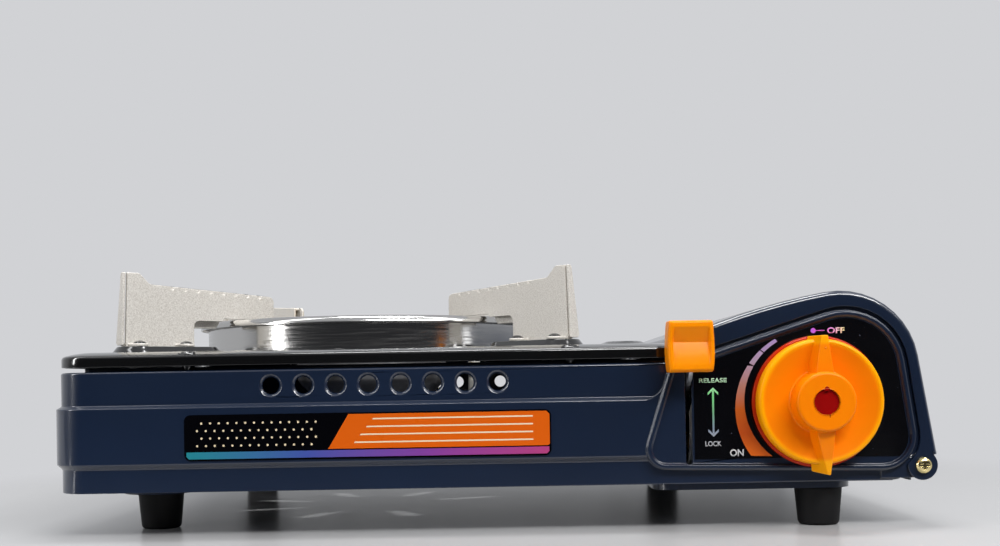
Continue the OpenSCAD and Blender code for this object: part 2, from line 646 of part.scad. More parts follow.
module jet_nozzle() color(brass) place() on_jet() {
    cylinder(r = 5.2, h = 7, $fn = 6);
    translate([0, 0, 7 - eps]) rotate_extrude() polygon([[0.4, 0], [3.4, 0], [3.4, 3], [1.6, 7], [0.4, 7]]);
}
throat_r = 8;
throat_t = 0.8;
inlet_l = 22;
module mixing_tube() color(steel) place() on_jet() difference() {
    rotate_extrude() polygon([[10.5, 5], [11.3, 5], [11.3, 13], [throat_r, 22], [throat_r, tube_l - inlet_l],
        [throat_r - throat_t, tube_l - inlet_l], [throat_r - throat_t, 22], [10.5, 13]]);
    for (a = [45:90:359]) rotate([0, 0, a]) translate([0, -2.5, 6.5]) cube([20, 5, 6]);
}
jet_back = jet_a + 180;
module burner_body() color([0.45, 0.45, 0.47]) place() translate([burner_x, burner_y, 0]) difference() {
    union() {
        translate([0, 0, burner_z0]) cylinder(r = 15, h = 20);
        rotate_extrude() polygon([[0, burner_z0 + 18], [15, burner_z0 + 18], [burner_r - 2, head_z - 4],
            [burner_r, head_z - 1], [burner_r, cap_z], [0, cap_z]]);
        translate([0, 0, pipe_z]) rotate([0, 90, jet_back]) cylinder(r = inlet_r, h = 26);
    }
    translate([0, 0, pipe_z]) rotate([0, 90, jet_back]) {
        cylinder(r = throat_r - throat_t, h = 28);
        translate([0, 0, inlet_l]) cylinder(r = throat_r, h = 10);
    }
    translate([0, 0, burner_z0 + 3]) cylinder(r = 11, h = 20);
    rotate_extrude() polygon([[0, burner_z0 + 21], [11, burner_z0 + 21], [burner_r - 5, head_z],
        [burner_r - 3, cap_z + 1], [0, cap_z + 1]]);
    for (s = [-1, 1]) translate([s * 10, 0, burner_z0 - 1]) cylinder(r = 1.5, h = 5);
}
module burner_cap() color(brass) place() translate([burner_x, burner_y, cap_z]) difference() {
    rotate_extrude() polygon([[burner_r - 4, 0], [burner_r + 1.5, 0], [burner_r + 1.5, 4],
        [burner_r - 3, 8], [18, 8], [14, 5], [12, 4.5], [12, 2.5], [15, 3], [19, 6], [burner_r - 6, 6],
        [burner_r - 4, 4]]);
    for (i = [0:23]) rotate([0, 0, i * 15]) translate([burner_r - 2, -0.8, 2]) cube([10, 1.6, 3]);
}
module burner_bracket() color(zinc) place() difference() {
    translate([burner_x, burner_y, 0]) union() {
        block([-17, -9, burner_z0 - 1.2], [17, 9, burner_z0]);
        for (s = [-1, 1]) {
            block([s * 17 - 0.6, -9, pan_floor], [s * 17 + 0.6, 9, burner_z0]);
            block([s * 22 - 5.6, -9, pan_floor], [s * 22 + 5.6, 9, pan_floor + 1.2]);
        }
    }
    for (s = [-1, 1]) {
        translate([burner_x + s * 22, burner_y, pan_floor - 1]) cylinder(r = 1.6, h = 4);
        translate([burner_x + s * 10, burner_y, pan_floor]) cylinder(r = 1.5, h = 6);
    }
}
module burner_screws() color(steel) place() for (s = [-1, 1]) {
    translate([burner_x + s * 22, burner_y, pan_floor + 1.2 + 1.6]) mirror([0, 0, 1])
        screw(2.8, 1.6, 1.6, 3);
    translate([burner_x + s * 10, burner_y, burner_z0 - 1.2 - 1.4]) screw(2.6, 1.4, 1.5, 5.2);
}

// --- lever and pusher --------------------------------------------------------------------------------
module lever_pin() color(steel) place() {
    along_x(bay_x, lever_pivot_y, lever_pivot_z) cylinder(r = 2, h = lever_x + lever_t + 1.6 - bay_x);
    along_x(bay_x - 1, lever_pivot_y, lever_pivot_z) cylinder(r = 3.5, h = 1);
    along_x(lever_x + lever_t + gap, lever_pivot_y, lever_pivot_z) cylinder(r = 3.2, h = 1);
}
spring_r = 3;
spring_wire_r = 0.45;
spring_turns = 2;
spring_x0 = bay_x + divider_t + 1;
spring_x1 = lever_x - 1;
lever_coil = [for (a = [0:20:360 * spring_turns]) [spring_x0 + (spring_x1 - spring_x0) * a / 360 / spring_turns,
    lever_pivot_y + spring_r * cos(a), lever_pivot_z + spring_r * sin(a)]];
module lever_spring() color(steel) place() tube(concat([lever_coil[0] - [0, 0, 14]], lever_coil,
    [lever_coil[len(lever_coil) - 1] + [0, 0, 9]]), spring_wire_r, 8);
// Flat lever in the Y-Z plane: hub, long arm to the slot, upturned end inside the tab
lever_rest = lever_swing / 2;
module lever_arm() color(zinc) place() translate([lever_x, 0, 0]) rotate([90, 0, 90]) linear_extrude(lever_t)
    difference() {
        union() {
            polygon([[lever_pivot_y - 2, lever_pivot_z - 7], [lever_pivot_y + 2, lever_pivot_z + 7],
                [-2, slot_z1 - 1.4], [-3, tab_z0 + 14], [-8, tab_z0 + 14], [-8, tab_z0 + 1], [-5, tab_z0 - 2.5],
                [2, slot_z1 - 8]]);
            translate([lever_pivot_y, lever_pivot_z]) circle(r = 7);
            translate([lever_pivot_y, lever_pivot_z]) rotate(90 - lever_rest) translate([0, -3.6])
                square([drive_r, 7.2]);
            translate(drive_at) circle(r = 4);
        }
        translate([lever_pivot_y, lever_pivot_z]) circle(r = 2 + run);
    }
drive_at = [lever_pivot_y + drive_r * sin(lever_rest), lever_pivot_z + drive_r * cos(lever_rest)];
drive_x = lever_x + lever_t;
module drive_pin() color(steel) place()
    along_x(drive_x, drive_at.x, drive_at.y) cylinder(r = 2, h = pusher_x + pusher_t + 0.5 - drive_x);
module lever_tab() color(orange) place() difference() {
    translate([slot_x, 0, tab_z0]) rotate([90, 0, 0]) translate([0, 0, 2.5]) linear_extrude(10)
        polygon([for (k = [0:8]) [-tab_w / 2 + 0.9 * pow(k / 4 - 1, 2), 0.4 + k * (tab_h - 0.8) / 8],
            [-tab_w / 2 + 2, tab_h], [tab_w / 2 - 2, tab_h],
            for (k = [8:-1:0]) [tab_w / 2 - 0.9 * pow(k / 4 - 1, 2), 0.4 + k * (tab_h - 0.8) / 8],
            [tab_w / 2 - 2, 0], [-tab_w / 2 + 2, 0]]);
    along_x(slot_x - tab_w / 2 + 2, -30, tab_z0 + tab_h + 4) cylinder(r = 21, h = tab_w - 4);
    block([lever_x, -8, tab_z0 - 1], [lever_x + lever_t, 0, tab_z0 + 14]);
}
pusher_z0 = lever_pivot_z + 7;
pusher_z1 = pusher_z0 + 11;
base_y = socket_y - collar_l + can_l;   // base of a locked cartridge
tongue_y = base_y + pusher_travel + 0.5;
module cartridge_pusher() color(steel) place() difference() {
    union() {
        block([pusher_x, lever_pivot_y - 7, pusher_z0], [pusher_x + pusher_t, tongue_y + pusher_t, pusher_z1]);
        block([pusher_x, lever_pivot_y - 7, pusher_z0 - 4],
            [pusher_x + pusher_t, lever_pivot_y + 11, pusher_z1]);
        block([pusher_x, tongue_y, pusher_z0 - 12], [can_x + 6, tongue_y + pusher_t, pusher_z1]);
    }
    block([pusher_x - 1, drive_at.x - 2 - gap, pusher_z0 - 1.5],
        [pusher_x + 3, drive_at.x + 2 + gap, drive_at.y + 3.5]);
}
module pusher_guides() color(zinc) place() for (y = [105, 185]) {
    reach = pusher_x + pusher_t + gap + 1;
    for (z = [pusher_z0 - gap - 1, pusher_z1 + gap])
        block([bay_x + divider_t, y, z], [reach, y + 14, z + 1]);
    for (z = [[pusher_z0 - gap - 1, pusher_z0 + 2], [pusher_z1 - 2, pusher_z1 + gap + 1]])
        block([reach - 1, y, z[0]], [reach, y + 14, z[1]]);
}

// --- top plate ---------------------------------------------------------------------------------------
module at_burner() translate([burner_x, burner_y, 0]) children();
support_sides = [[-1, -1], [1, -1], [-1, 1], [1, 1]];
module radial(s) at_burner() rotate([0, 0, heading(s)]) children();
// Raised oblong from r0 to r1 along X: half as wide as w at the top, with sides that flare out below
module raised_pad(r0, r1, w, flare, z, h, g) {
    foot = w + flare;
    for (r = [r0, r1]) translate([r, 0, z]) cylinder(r1 = foot - g, r2 = w - g, h = h);
    translate([r0, 0, z]) rotate([90, 0, 90]) linear_extrude(r1 - r0)
        polygon([[-foot + g, 0], [foot - g, 0], [w - g, h], [-w + g, h]]);
}
// Lip, round shoulder and the gentle crown that rises to the flat deck, as [inset, height]
crown = [[1.2, 0], [4.5, 0.55 * deck_rise], [8, 0.9 * deck_rise], [10.5, deck_rise], [12, deck_rise]];
lip_profile = concat([[0, plate_z0], [0, plate_top - 1.4], [0.35, plate_top - 0.5]],
    [for (p = crown) [p.x, plate_top + p.y]],
    [for (i = [len(crown) - 1:-1:1]) [crown[i].x, plate_top + crown[i].y - plate_t]],
    [[2, plate_top - plate_t - 0.1], [plate_t, plate_top - 1.9], [plate_t, plate_z0]]);
deck_inset = 11;
plate_corner = corner_r - 1;
module plate_frame() translate([plate_x0, plate_y0, 0]) children();
module plate_lip() {
    w = plate_x1 - plate_x0;
    d = plate_y1 - plate_y0;
    for (m = [0, 1], n = [0, 1]) translate([m * w, n * d, 0]) mirror([m, 0, 0]) mirror([0, n, 0])
        wall_corner(lip_profile, plate_corner);
    for (n = [0, 1]) translate([0, n * d, 0]) mirror([0, n, 0])
        wall_front(lip_profile, plate_corner, w - plate_corner);
    for (m = [0, 1]) translate([m * w, 0, 0]) mirror([m, 0, 0])
        wall_left(lip_profile, plate_corner, d - plate_corner);
}
pad_r = [96.5, 124.5];                  // centres of a pad's round ends, from the burner's centre
pad_flare = 3;
rib_x = plate_x1 - 23;
rib_w = 7;
rib_flare = 5.4;
rib_y = [plate_y0 + 24, plate_y1 - 24];
rivet_x = [support_r - 26.5, support_r - 5];
rivet_y = 4.7;
rivet_r = 1.6;
rest_dimples = [for (x = [plate_x0 + 52, plate_x1 - 46], y = [plate_y0 + 5, plate_y1 - 5]) [x, y]];
dimple_h = plate_top + 0.5 - shell_z1 - gap;
module raised_parts(g) {
    z = deck_z - plate_t - g;
    for (s = support_sides) radial(s) raised_pad(pad_r[0], pad_r[1], pad_w, pad_flare, z, pad_h + plate_t, g);
    translate([rib_x, rib_y[0], 0]) rotate([0, 0, 90])
        raised_pad(0, rib_y[1] - rib_y[0], rib_w, rib_flare, z, rib_h + plate_t, g);
}
module top_plate() color(enamel) place() difference() {
    union() {
        plate_frame() plate_lip();
        rounded_block(plate_x0 + deck_inset, plate_y0 + deck_inset, plate_x1 - deck_inset,
            plate_y1 - deck_inset, deck_z - plate_t, deck_z, plate_corner - deck_inset);
        raised_parts(0);
        for (p = rest_dimples) translate([p.x, p.y, shell_z1 + gap]) cylinder(r1 = 2, r2 = 4, h = dimple_h);
    }
    raised_parts(plate_t);
    for (p = rest_dimples) translate([p.x, p.y, shell_z1 + gap + plate_t])
        cylinder(r1 = 1.2, r2 = 3.4, h = dimple_h + 1);
    at_burner() cylinder(r = well_r, h = 200);
    for (s = support_sides, x = rivet_x) radial(s) translate([x, foot_side(s) * rivet_y, pad_top - 3])
        cylinder(r = rivet_r, h = 6);
}

ring_flange_w = 6;
rim_c = [ring_r + 1.2, ring_z1 - rim_r];
rim_a_in = acos((ring_r + ring_t - rim_c.x) / (rim_r - ring_t));
rim_a_out = acos((ring_r - rim_c.x) / rim_r);
module windshield_ring() color([0.85, 0.85, 0.87]) place() at_burner() rotate_extrude() polygon(concat(
    [[ring_r - ring_flange_w, deck_z], [ring_r + ring_t, deck_z]],
    [for (k = [6:-1:0]) rim_c + (rim_r - ring_t) * [cos(rim_a_in * k / 6), sin(rim_a_in * k / 6)]],
    [for (k = [0:6]) rim_c + rim_r * [cos(rim_a_out * k / 6), sin(rim_a_out * k / 6)]],
    [[ring_r, deck_z + ring_t], [ring_r - ring_flange_w, deck_z + ring_t]]));

// --- pan supports ------------------------------------------------------------------------------------
function foot_side(s) = s.x * s.y < 0 ? -1 : 1;
leg_r = 98.4;
slit = 0.6;                             // between a support's face and its outer flap
edge_z0 = pad_top + 23.1;               // pan edge at its inner end
edge_z1 = pad_top + 26.2;               // pan edge at the foot of the tip
tip_z = pad_top + support_h;
face_x = support_r - slit;
tip_x = face_x - support_lean;
edge_x = [support_inner_r + 2.2, tip_x - 11];
arm_z = [ring_z1 + 0.4, ring_z1 - 0.9]; // lower edge of the arm over the ring and outside it
rim_x = rim_c.x + rim_r + 2.7;          // where the arm steps down outside the rim
dent_x0 = support_inner_r + 7.9;
dent_pitch = 6.2;
function edge_at(x) = edge_z0 + (edge_z1 - edge_z0) * (x - edge_x[0]) / (edge_x[1] - edge_x[0]);
function corner(c, r, a0, a1) = [for (k = [0:3]) let (a = a0 + (a1 - a0) * k / 3) c + r * [cos(a), sin(a)]];
face_outline = concat(
    [[leg_r, pad_top], [face_x, pad_top], [tip_x, tip_z], [tip_x - 5.2, tip_z], [tip_x - 6.1, tip_z - 0.5],
     [tip_x - 10, edge_z1 + 0.4], [edge_x[1], edge_z1]],
    corner([edge_x[0], edge_z0 - 2.2], 2.2, 90, 180),
    corner([support_inner_r + 0.8, arm_z[0] + 0.8], 0.8, 180, 270),
    [[rim_x - 0.4, arm_z[0]], [rim_x, arm_z[1]]],
    corner([leg_r - 2.5, arm_z[1] - 2.5], 2.5, 90, 0));
// Rear side of the folded arm, which reaches lower between the rim and the leg
back_z = arm_z[1] - 3;
back_outline = [[rim_x + 1.8, back_z], [leg_r + 8, back_z], [leg_r + 8, edge_at(leg_r + 8) - 0.6],
    [edge_x[0] + 0.4, edge_z0 - 0.6], [edge_x[0] + 0.4, arm_z[0] + 1], [rim_x, arm_z[0] + 1],
    [rim_x, arm_z[1] - 0.4]];
flap_outline = [[-3, pad_top + 0.6], [support_t, pad_top + 0.6], [support_t, tip_z], [-0.6, tip_z],
    [-1.2, tip_z - 0.8], [-4, pad_top + 1.6]];
module sheet_between(y0, y1) translate([0, y1, 0]) rotate([90, 0, 0]) linear_extrude(y1 - y0) children();
module pan_support(i) color([0.76, 0.75, 0.72]) place() {
    s = support_sides[i];
    radial(s) scale([1, foot_side(s), 1]) difference() {
        union() {
            sheet_between(0, support_t) polygon(face_outline);
            sheet_between(support_t - arm_w, 2 * support_t - arm_w) polygon(back_outline);
            // fold along the pan edge, between the two sides of the arm
            sheet_between(support_t - arm_w, support_t / 2) polygon([
                [edge_x[0] + 0.4, edge_at(edge_x[0]) - support_t], [edge_x[1], edge_z1 - support_t],
                [edge_x[1], edge_z1 - 0.1], [edge_x[0] + 0.4, edge_at(edge_x[0] + 0.4) - 0.1]]);
            // outer flap, leaning, with a slit between it and the face
            intersection() {
                sheet_between(-6, support_t) polygon([[support_r, pad_top], [support_r + support_t, pad_top],
                    [tip_x + slit + support_t, tip_z + eps], [tip_x + slit, tip_z + eps]]);
                rotate([90, 0, 90]) linear_extrude(support_r + 10) polygon(flap_outline);
            }
            block([face_x - 1, 0.1, pad_top], [support_r + support_t - 0.2, support_t - 0.1, pad_top + 1.2]);
            // two feet
            for (x = rivet_x) {
                block([x - 3.2, 0.2, pad_top], [x + 3.2, rivet_y, pad_top + support_t]);
                translate([x, rivet_y, pad_top]) cylinder(r = 3.5, h = support_t);
            }
        }
        for (x = [dent_x0:dent_pitch:dent_x0 + (dent_n - 0.5) * dent_pitch])
            translate([x, support_t, edge_at(x) - 0.4]) rotate([90, 0, 0])
                cylinder(r = 1.1, h = 0.7, center = true);
        for (x = rivet_x) translate([x, rivet_y, pad_top - 1]) cylinder(r = rivet_r, h = 4);
    }
}
rivet_head_r = 2.8;
rivet_foot_r = rivet_r + 0.5;           // closed end, inside the pad's hollow
rivet_z = pad_top - plate_t - 1;        // lower end of a rivet
module support_rivets() color(steel) place() for (s = support_sides, x = rivet_x) radial(s)
    translate([x, foot_side(s) * rivet_y, rivet_z]) {
        h = plate_t + support_t;
        rotate_extrude() polygon([[0, 0], [rivet_foot_r, 0], [rivet_foot_r, 1], [rivet_r, 1], [rivet_r, 1 + h],
            [rivet_head_r, 1 + h], [0.8 * rivet_head_r, 1.7 + h], [0.4 * rivet_head_r, 2.2 + h], [0, 2.3 + h]]);
    }

// --- cover -------------------------------------------------------------------------------------------
edge_steps = 3;
module cover_slice(k) {
    a = 90 * k / edge_steps;
    y = cover_edge_r * (1 - cos(a));
    upright(y, y + eps) polygon(outline(cover_circles, -cover_edge_r * (1 - sin(a))));
}
module cover_block() {
    upright(cover_edge_r, body_d - cover_edge_r) polygon(outline(cover_circles));
    front_and_rear() for (k = [0:edge_steps - 1]) hull() {
        cover_slice(k);
        cover_slice(k + 1);
    }
}
module cover_ear() upright(0, cover_t) difference() {
    union() {
        translate([hinge_x, hinge_z]) circle(r = ear_r);
        translate([hinge_x - 4, hinge_z]) square([8, cover_right_z + 1 - hinge_z]);
    }
    panel_shape(panel_gap);
}
module cartridge_cover() color(navy) place() difference() {
    union() {
        difference() {
            cover_block();
            upright(cover_t, body_d - cover_t) polygon(outline(cover_circles, -cover_t));
            front_and_rear() upright(-1, band_step + sheet_t + gap) panel_shape(panel_gap);
            upright(-1, body_d + 1) {
                square([hinge_x - 12, cover_left_z]);
                square([body_w + 10, cover_right_z]);
            }
        }
        front_and_rear() cover_ear();
    }
    upright(-1, body_d + 1) translate([hinge_x, hinge_z]) circle(r = 2 + run);
}

// --- knob --------------------------------------------------------------------------------------------
module on_knob(y) along_y(knob_x, y, knob_z) children();
face_y = knob_h - 7.5;                  // from the panel to the knob's rim
knob_back = 1.5;
bore_r = spindle_r + 0.02;
insert_r = 4.85;
module knob_bar(w, h0, h1) translate([0, 0, -h1]) linear_extrude(h1 - h0) polygon([
    [-w / 2, 11], [-w * 0.3, knob_r + 1], [w * 0.3, knob_r + 1], [w / 2, 11], [w / 2, -11],
    [w * 0.3, -knob_r - 2.6], [-w * 0.22, -knob_r - 0.8], [-w / 2, -11]]);
module control_knob() color(orange) place() difference() {
    union() {
        translate([knob_x, 0, knob_z]) rotate([90, 0, 0]) rotate_extrude() polygon([
            [bore_r, knob_back], [8, knob_back], [8, face_y - 4.2], [knob_r - 3.2, face_y - 4.2],
            [knob_r - 1.9, knob_back], [knob_r, knob_back], [knob_r - 1.6, face_y - 1.2],
            [knob_r - 2.4, face_y - 0.2], [knob_r - 3.4, face_y], [knob_r - 4.4, face_y - 0.4],
            [12.6, face_y - 2], [12.2, knob_h - 1.4], [11.8, knob_h - 0.4], [11, knob_h],
            [insert_r, knob_h], [insert_r, knob_h - 3.5], [bore_r, knob_h - 3.5]]);
        translate([knob_x, 0, knob_z]) rotate([90, 0, 0]) difference() {
            translate([0, 0, knob_h]) union() {
                knob_bar(10, 3.2, knob_h - face_y + 3.4);
                knob_bar(6.5, 2.2, 3.3);
            }
            cylinder(r = 9, h = 40);
        }
    }
    translate([knob_x - 0.8, -knob_h - 1, knob_z]) cube([1.6, 4, 5.8]);
}
module knob_insert() color([0.55, 0.02, 0.02]) place() translate([knob_x, 0, knob_z]) {
    translate([0, -knob_h + 3.5, 0]) rotate([90, 0, 0]) cylinder(r = insert_r, h = 2.4);
    block([-0.8, -knob_h + 1.1, 4], [0.8, -knob_h + 3, 5.8]);
}
module valve_spindle() color(brass) place() {
    on_knob(-knob_h + 3.6) cylinder(r = spindle_r, h = knob_h - 3.6 + 22);
}
module igniter_cam() color([0.15, 0.15, 0.15]) place() upright(igniter_y - 3.5, igniter_y + 3.5)
    translate([knob_x, knob_z]) difference() {
        polygon([for (a = [60:8:180]) (cam_r0 + cam_lift * (180 - a) / knob_turn) * [cos(a), sin(a)],
            for (a = [190:10:400]) cam_r0 * [cos(a), sin(a)]]);
        circle(r = spindle_r);
    }

body_shell();
base_pan();
bay_divider();
cartridge_cradle();
control_sticker();
name_label();
hinge_screws();
cover_catch();
body_screws();
foot(0);  // foot_front_left
foot(1);  // foot_front_right
foot(2);  // foot_rear_left
foot(3);  // foot_rear_right
foot_screws();
regulator_body();
regulator_cap();
cap_screws();
regulator_screws();
socket_seal();
igniter_body();
igniter_clip();
ignition_wire();
electrode_insulator();
electrode_rod();
electrode_bracket();
gas_pipe();
pipe_nut();
jet_nozzle();
mixing_tube();
burner_body();
burner_cap();
burner_bracket();
burner_screws();
lever_pin();
lever_spring();
pusher_guides();
top_plate();
windshield_ring();
pan_support(0);  // pan_support_front_left
pan_support(1);  // pan_support_front_right
pan_support(2);  // pan_support_rear_left
pan_support(3);  // pan_support_rear_right
support_rivets();
cartridge_cover();
control_knob();
knob_insert();
valve_spindle();
igniter_cam();
igniter_plunger();
lever_arm();
lever_tab();
drive_pin();
cartridge_pusher();
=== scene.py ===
# %% [markdown]
# # A table-top gas stove, dressed for a product picture
# The stove is a pressed steel box with a burner under a black enamelled plate. A gas cartridge lies in a
# bay on the right, under a hinged cover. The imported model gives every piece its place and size, in metres.
# This lesson gives the pieces their finish: paint, enamel, polished steel, moulded plastic and rubber.

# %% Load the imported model
import json
import math

import bpy
import bmesh
from mathutils import Matrix, Vector


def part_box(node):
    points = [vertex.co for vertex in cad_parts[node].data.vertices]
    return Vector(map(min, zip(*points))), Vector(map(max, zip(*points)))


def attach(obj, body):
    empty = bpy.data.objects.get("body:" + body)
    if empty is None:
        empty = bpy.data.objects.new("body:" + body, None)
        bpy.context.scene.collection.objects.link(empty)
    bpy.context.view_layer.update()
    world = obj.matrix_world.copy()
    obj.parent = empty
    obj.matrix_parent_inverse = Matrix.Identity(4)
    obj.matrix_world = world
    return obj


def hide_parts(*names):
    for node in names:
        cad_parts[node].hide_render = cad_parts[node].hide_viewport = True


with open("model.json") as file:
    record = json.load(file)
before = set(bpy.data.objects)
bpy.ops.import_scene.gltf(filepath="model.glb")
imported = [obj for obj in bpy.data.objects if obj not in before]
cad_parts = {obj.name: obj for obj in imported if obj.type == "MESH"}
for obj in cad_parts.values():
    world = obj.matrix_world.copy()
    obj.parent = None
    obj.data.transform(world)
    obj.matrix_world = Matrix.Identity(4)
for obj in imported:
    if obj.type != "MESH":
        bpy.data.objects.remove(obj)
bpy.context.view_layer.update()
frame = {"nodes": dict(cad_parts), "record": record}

# %% [markdown]
# All places below are written as a fitter would measure them: millimetres from the stove's left side,
# from its front face and from the table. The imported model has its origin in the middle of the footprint,
# so one small function turns these measures into the model's own metres.

# %% Measures
MM = 0.001
MIDDLE = (172.5, 121.85)


def at(x, y, z):
    """A point given in millimetres from the left side, the front face and the table."""
    return Vector((x - MIDDLE[0], y - MIDDLE[1], z)) * MM


# %% [markdown]
# The picture is taken from a little under half a metre in front of the stove, with the lens just above the
# knob's middle. A view camera keeps the uprights straight: the sensor is shifted, the camera isn't tilted.
# One degree of roll is left in, as from a tripod that stands a little out of true.

# %% Camera
LENS_PLACE = at(178, -463.7, 59.3)
FOCAL_LENGTH = 43.2
SENSOR_WIDTH = 36.0
SENSOR_SHIFT = (-0.005, 0.107)
ROLL = math.radians(1.0)

camera_data = bpy.data.cameras.new("product_camera")
camera_data.lens = FOCAL_LENGTH
camera_data.sensor_width = SENSOR_WIDTH
camera_data.shift_x, camera_data.shift_y = SENSOR_SHIFT
camera_data.clip_start = 0.01
camera = bpy.data.objects.new("product_camera", camera_data)
bpy.context.scene.collection.objects.link(camera)
level_view = Matrix.Rotation(math.radians(90), 4, "X")
camera.matrix_world = Matrix.Translation(LENS_PLACE) @ Matrix.Rotation(ROLL, 4, "Y") @ level_view
bpy.context.scene.camera = camera
bpy.context.scene.view_settings.view_transform = "Standard"

# %% [markdown]
# ## Finishes
# Each finish is a small node tree on one Principled shader. The patterns read Object coordinates, which
# are metres here, so a noise scale of 1000 gives grains of about a millimetre. One helper makes the
# shader and another adds a bump, and each finish then says only what is special about it.


# %% Helpers for finishes
def srgb(red, green, blue):
    """A screen colour from 0 to 255 as the linear colour that a shader wants."""
    def linear(value):
        value = value / 255
        return value / 12.92 if value <= 0.04045 else ((value + 0.055) / 1.055) ** 2.4
    return (linear(red), linear(green), linear(blue), 1.0)


class Finish:
    """One material: its tree, its shader and short ways to add the usual nodes."""

    def __init__(self, name, colour, roughness=0.5, metallic=0.0, **sockets):
        self.material = bpy.data.materials.new(name)
        self.material.use_nodes = True
        self.nodes = self.material.node_tree.nodes
        self.links = self.material.node_tree.links
        self.shader = self.nodes["Principled BSDF"]
        self.shader.inputs["Base Color"].default_value = colour
        self.shader.inputs["Roughness"].default_value = roughness
        self.shader.inputs["Metallic"].default_value = metallic
        for socket, value in sockets.items():
            self.shader.inputs[socket.replace("_", " ")].default_value = value
        self.place = self.nodes.new("ShaderNodeTexCoord").outputs["Object"]

    def scaled(self, scale):
        """Object coordinates stretched along the axes."""
        mapping = self.nodes.new("ShaderNodeMapping")
        mapping.inputs["Scale"].default_value = scale
        self.links.new(self.place, mapping.inputs["Vector"])
        return mapping.outputs["Vector"]

    def noise(self, scale, detail=3.0, vector=None):
        """A noise from 0 to 1; a larger scale gives smaller grains."""
        node = self.nodes.new("ShaderNodeTexNoise")
        node.inputs["Scale"].default_value = scale
        node.inputs["Detail"].default_value = detail
        self.links.new(vector or self.place, node.inputs["Vector"])
        return node.outputs["Fac"]

    def ramp(self, value, low, high, at_low=0.35, at_high=0.65):
        """Maps a value onto a range of greys or colours."""
        node = self.nodes.new("ShaderNodeValToRGB")
        for element, position, tone in zip(node.color_ramp.elements, (at_low, at_high), (low, high)):
            element.position = position
            element.color = tone if hasattr(tone, "__len__") else (tone, tone, tone, 1)
        self.links.new(value, node.inputs["Fac"])
        return node.outputs["Color"]

    def colour_from(self, output):
        self.links.new(output, self.shader.inputs["Base Color"])

    def roughness_from(self, output):
        self.links.new(output, self.shader.inputs["Roughness"])

    def bump(self, height, distance, strength=1.0):
        """Adds a bump on top of the bumps that are there already."""
        node = self.nodes.new("ShaderNodeBump")
        node.inputs["Distance"].default_value = distance
        node.inputs["Strength"].default_value = strength
        self.links.new(height, node.inputs["Height"])
        before = self.shader.inputs["Normal"].links
        if before:
            self.links.new(before[0].from_socket, node.inputs["Normal"])
        self.links.new(node.outputs["Normal"], self.shader.inputs["Normal"])


# %% [markdown]
# **Painted steel.** The body's paint is sprayed and baked, so up close it has the faint ripple that is
# called orange peel. It is semi-glossy: a thin clear coat over a rougher blue. The plate's black enamel is
# the same kind of coating, only smoother.


# %% Painted steel and enamel
def painted(name, colour, darker, roughness, peel):
    """A baked coating with slow changes of tone and roughness and a fine ripple."""
    finish = Finish(name, colour, roughness, Specular_IOR_Level=0.4, Coat_Weight=1.0, Coat_Roughness=0.06)
    finish.colour_from(finish.ramp(finish.noise(9.0), colour, darker, 0.3, 0.7))
    finish.roughness_from(finish.ramp(finish.noise(40.0), roughness - 0.015, roughness + 0.015))
    finish.bump(finish.noise(420.0, 1.0), 0.03 * MM, peel)
    return finish.material


navy_paint = painted("navy_paint", srgb(17, 32, 56), srgb(13, 26, 47), 0.3, 0.08)
black_enamel = painted("black_enamel", srgb(12, 12, 13), srgb(8, 8, 9), 0.16, 0.05)


# %% [markdown]
# **Bare metals.** Sheet steel shows the rolling direction as very fine streaks, cast parts are grainy, and
# brass is smooth and a little stained. The streaks are a noise that is squeezed along one axis.


# %% Metals
def streaked_metal(name, colour, roughness, stretch, strength):
    """Sheet or wire, with streaks across the axis that is stretched most."""
    finish = Finish(name, colour, roughness, 1.0)
    streaks = finish.noise(60.0, 4.0, finish.scaled(stretch))
    finish.roughness_from(finish.ramp(streaks, roughness - 0.06, roughness + 0.08))
    finish.bump(streaks, 0.03 * MM, strength)
    return finish.material


def cast_metal(name, colour, roughness, grain):
    """A cast surface, grainy all over."""
    finish = Finish(name, colour, roughness, 1.0)
    finish.bump(finish.noise(grain), 0.15 * MM, 0.35)
    finish.roughness_from(finish.ramp(finish.noise(grain * 0.3), roughness - 0.05, roughness + 0.1))
    return finish.material


zinc_plate = streaked_metal("zinc_plate", srgb(196, 198, 203), 0.34, (1, 12, 1), 0.2)
bright_steel = streaked_metal("bright_steel", srgb(212, 212, 214), 0.24, (12, 1, 12), 0.15)
polished_steel = streaked_metal("polished_steel", srgb(206, 205, 203), 0.15, (1, 1, 30), 0.05)
brass = streaked_metal("brass", srgb(206, 172, 104), 0.28, (1, 1, 1), 0.1)
cast_zinc = cast_metal("cast_zinc", srgb(168, 170, 174), 0.42, 900.0)
cast_aluminium = cast_metal("cast_aluminium", srgb(140, 140, 143), 0.5, 700.0)
gold_screw = streaked_metal("gold_screw", srgb(222, 206, 150), 0.22, (1, 1, 1), 0.1)

# %% [markdown]
# **Grained steel.** The pan supports are coated sheet with a sandy grain: light grains beside darker ones,
# each well under a millimetre, on a warm light grey.

# %% Grained steel
support_finish = Finish("grained_steel", srgb(222, 218, 210), 0.5, 0.25)
grains = support_finish.noise(2600.0, 5.0)
support_finish.colour_from(support_finish.ramp(grains, srgb(204, 198, 189), srgb(240, 236, 229), 0.36, 0.62))
support_finish.bump(grains, 0.06 * MM, 0.35)
grained_steel = support_finish.material


# %% [markdown]
# **Plastics and rubber.** The knob and the tab are smooth injection mouldings in a strong orange, which
# let a little light in, so the shader has some subsurface light. The feet are dull black rubber. The panel's
# sticker is a glossy black film on which a few specks of dust have settled.


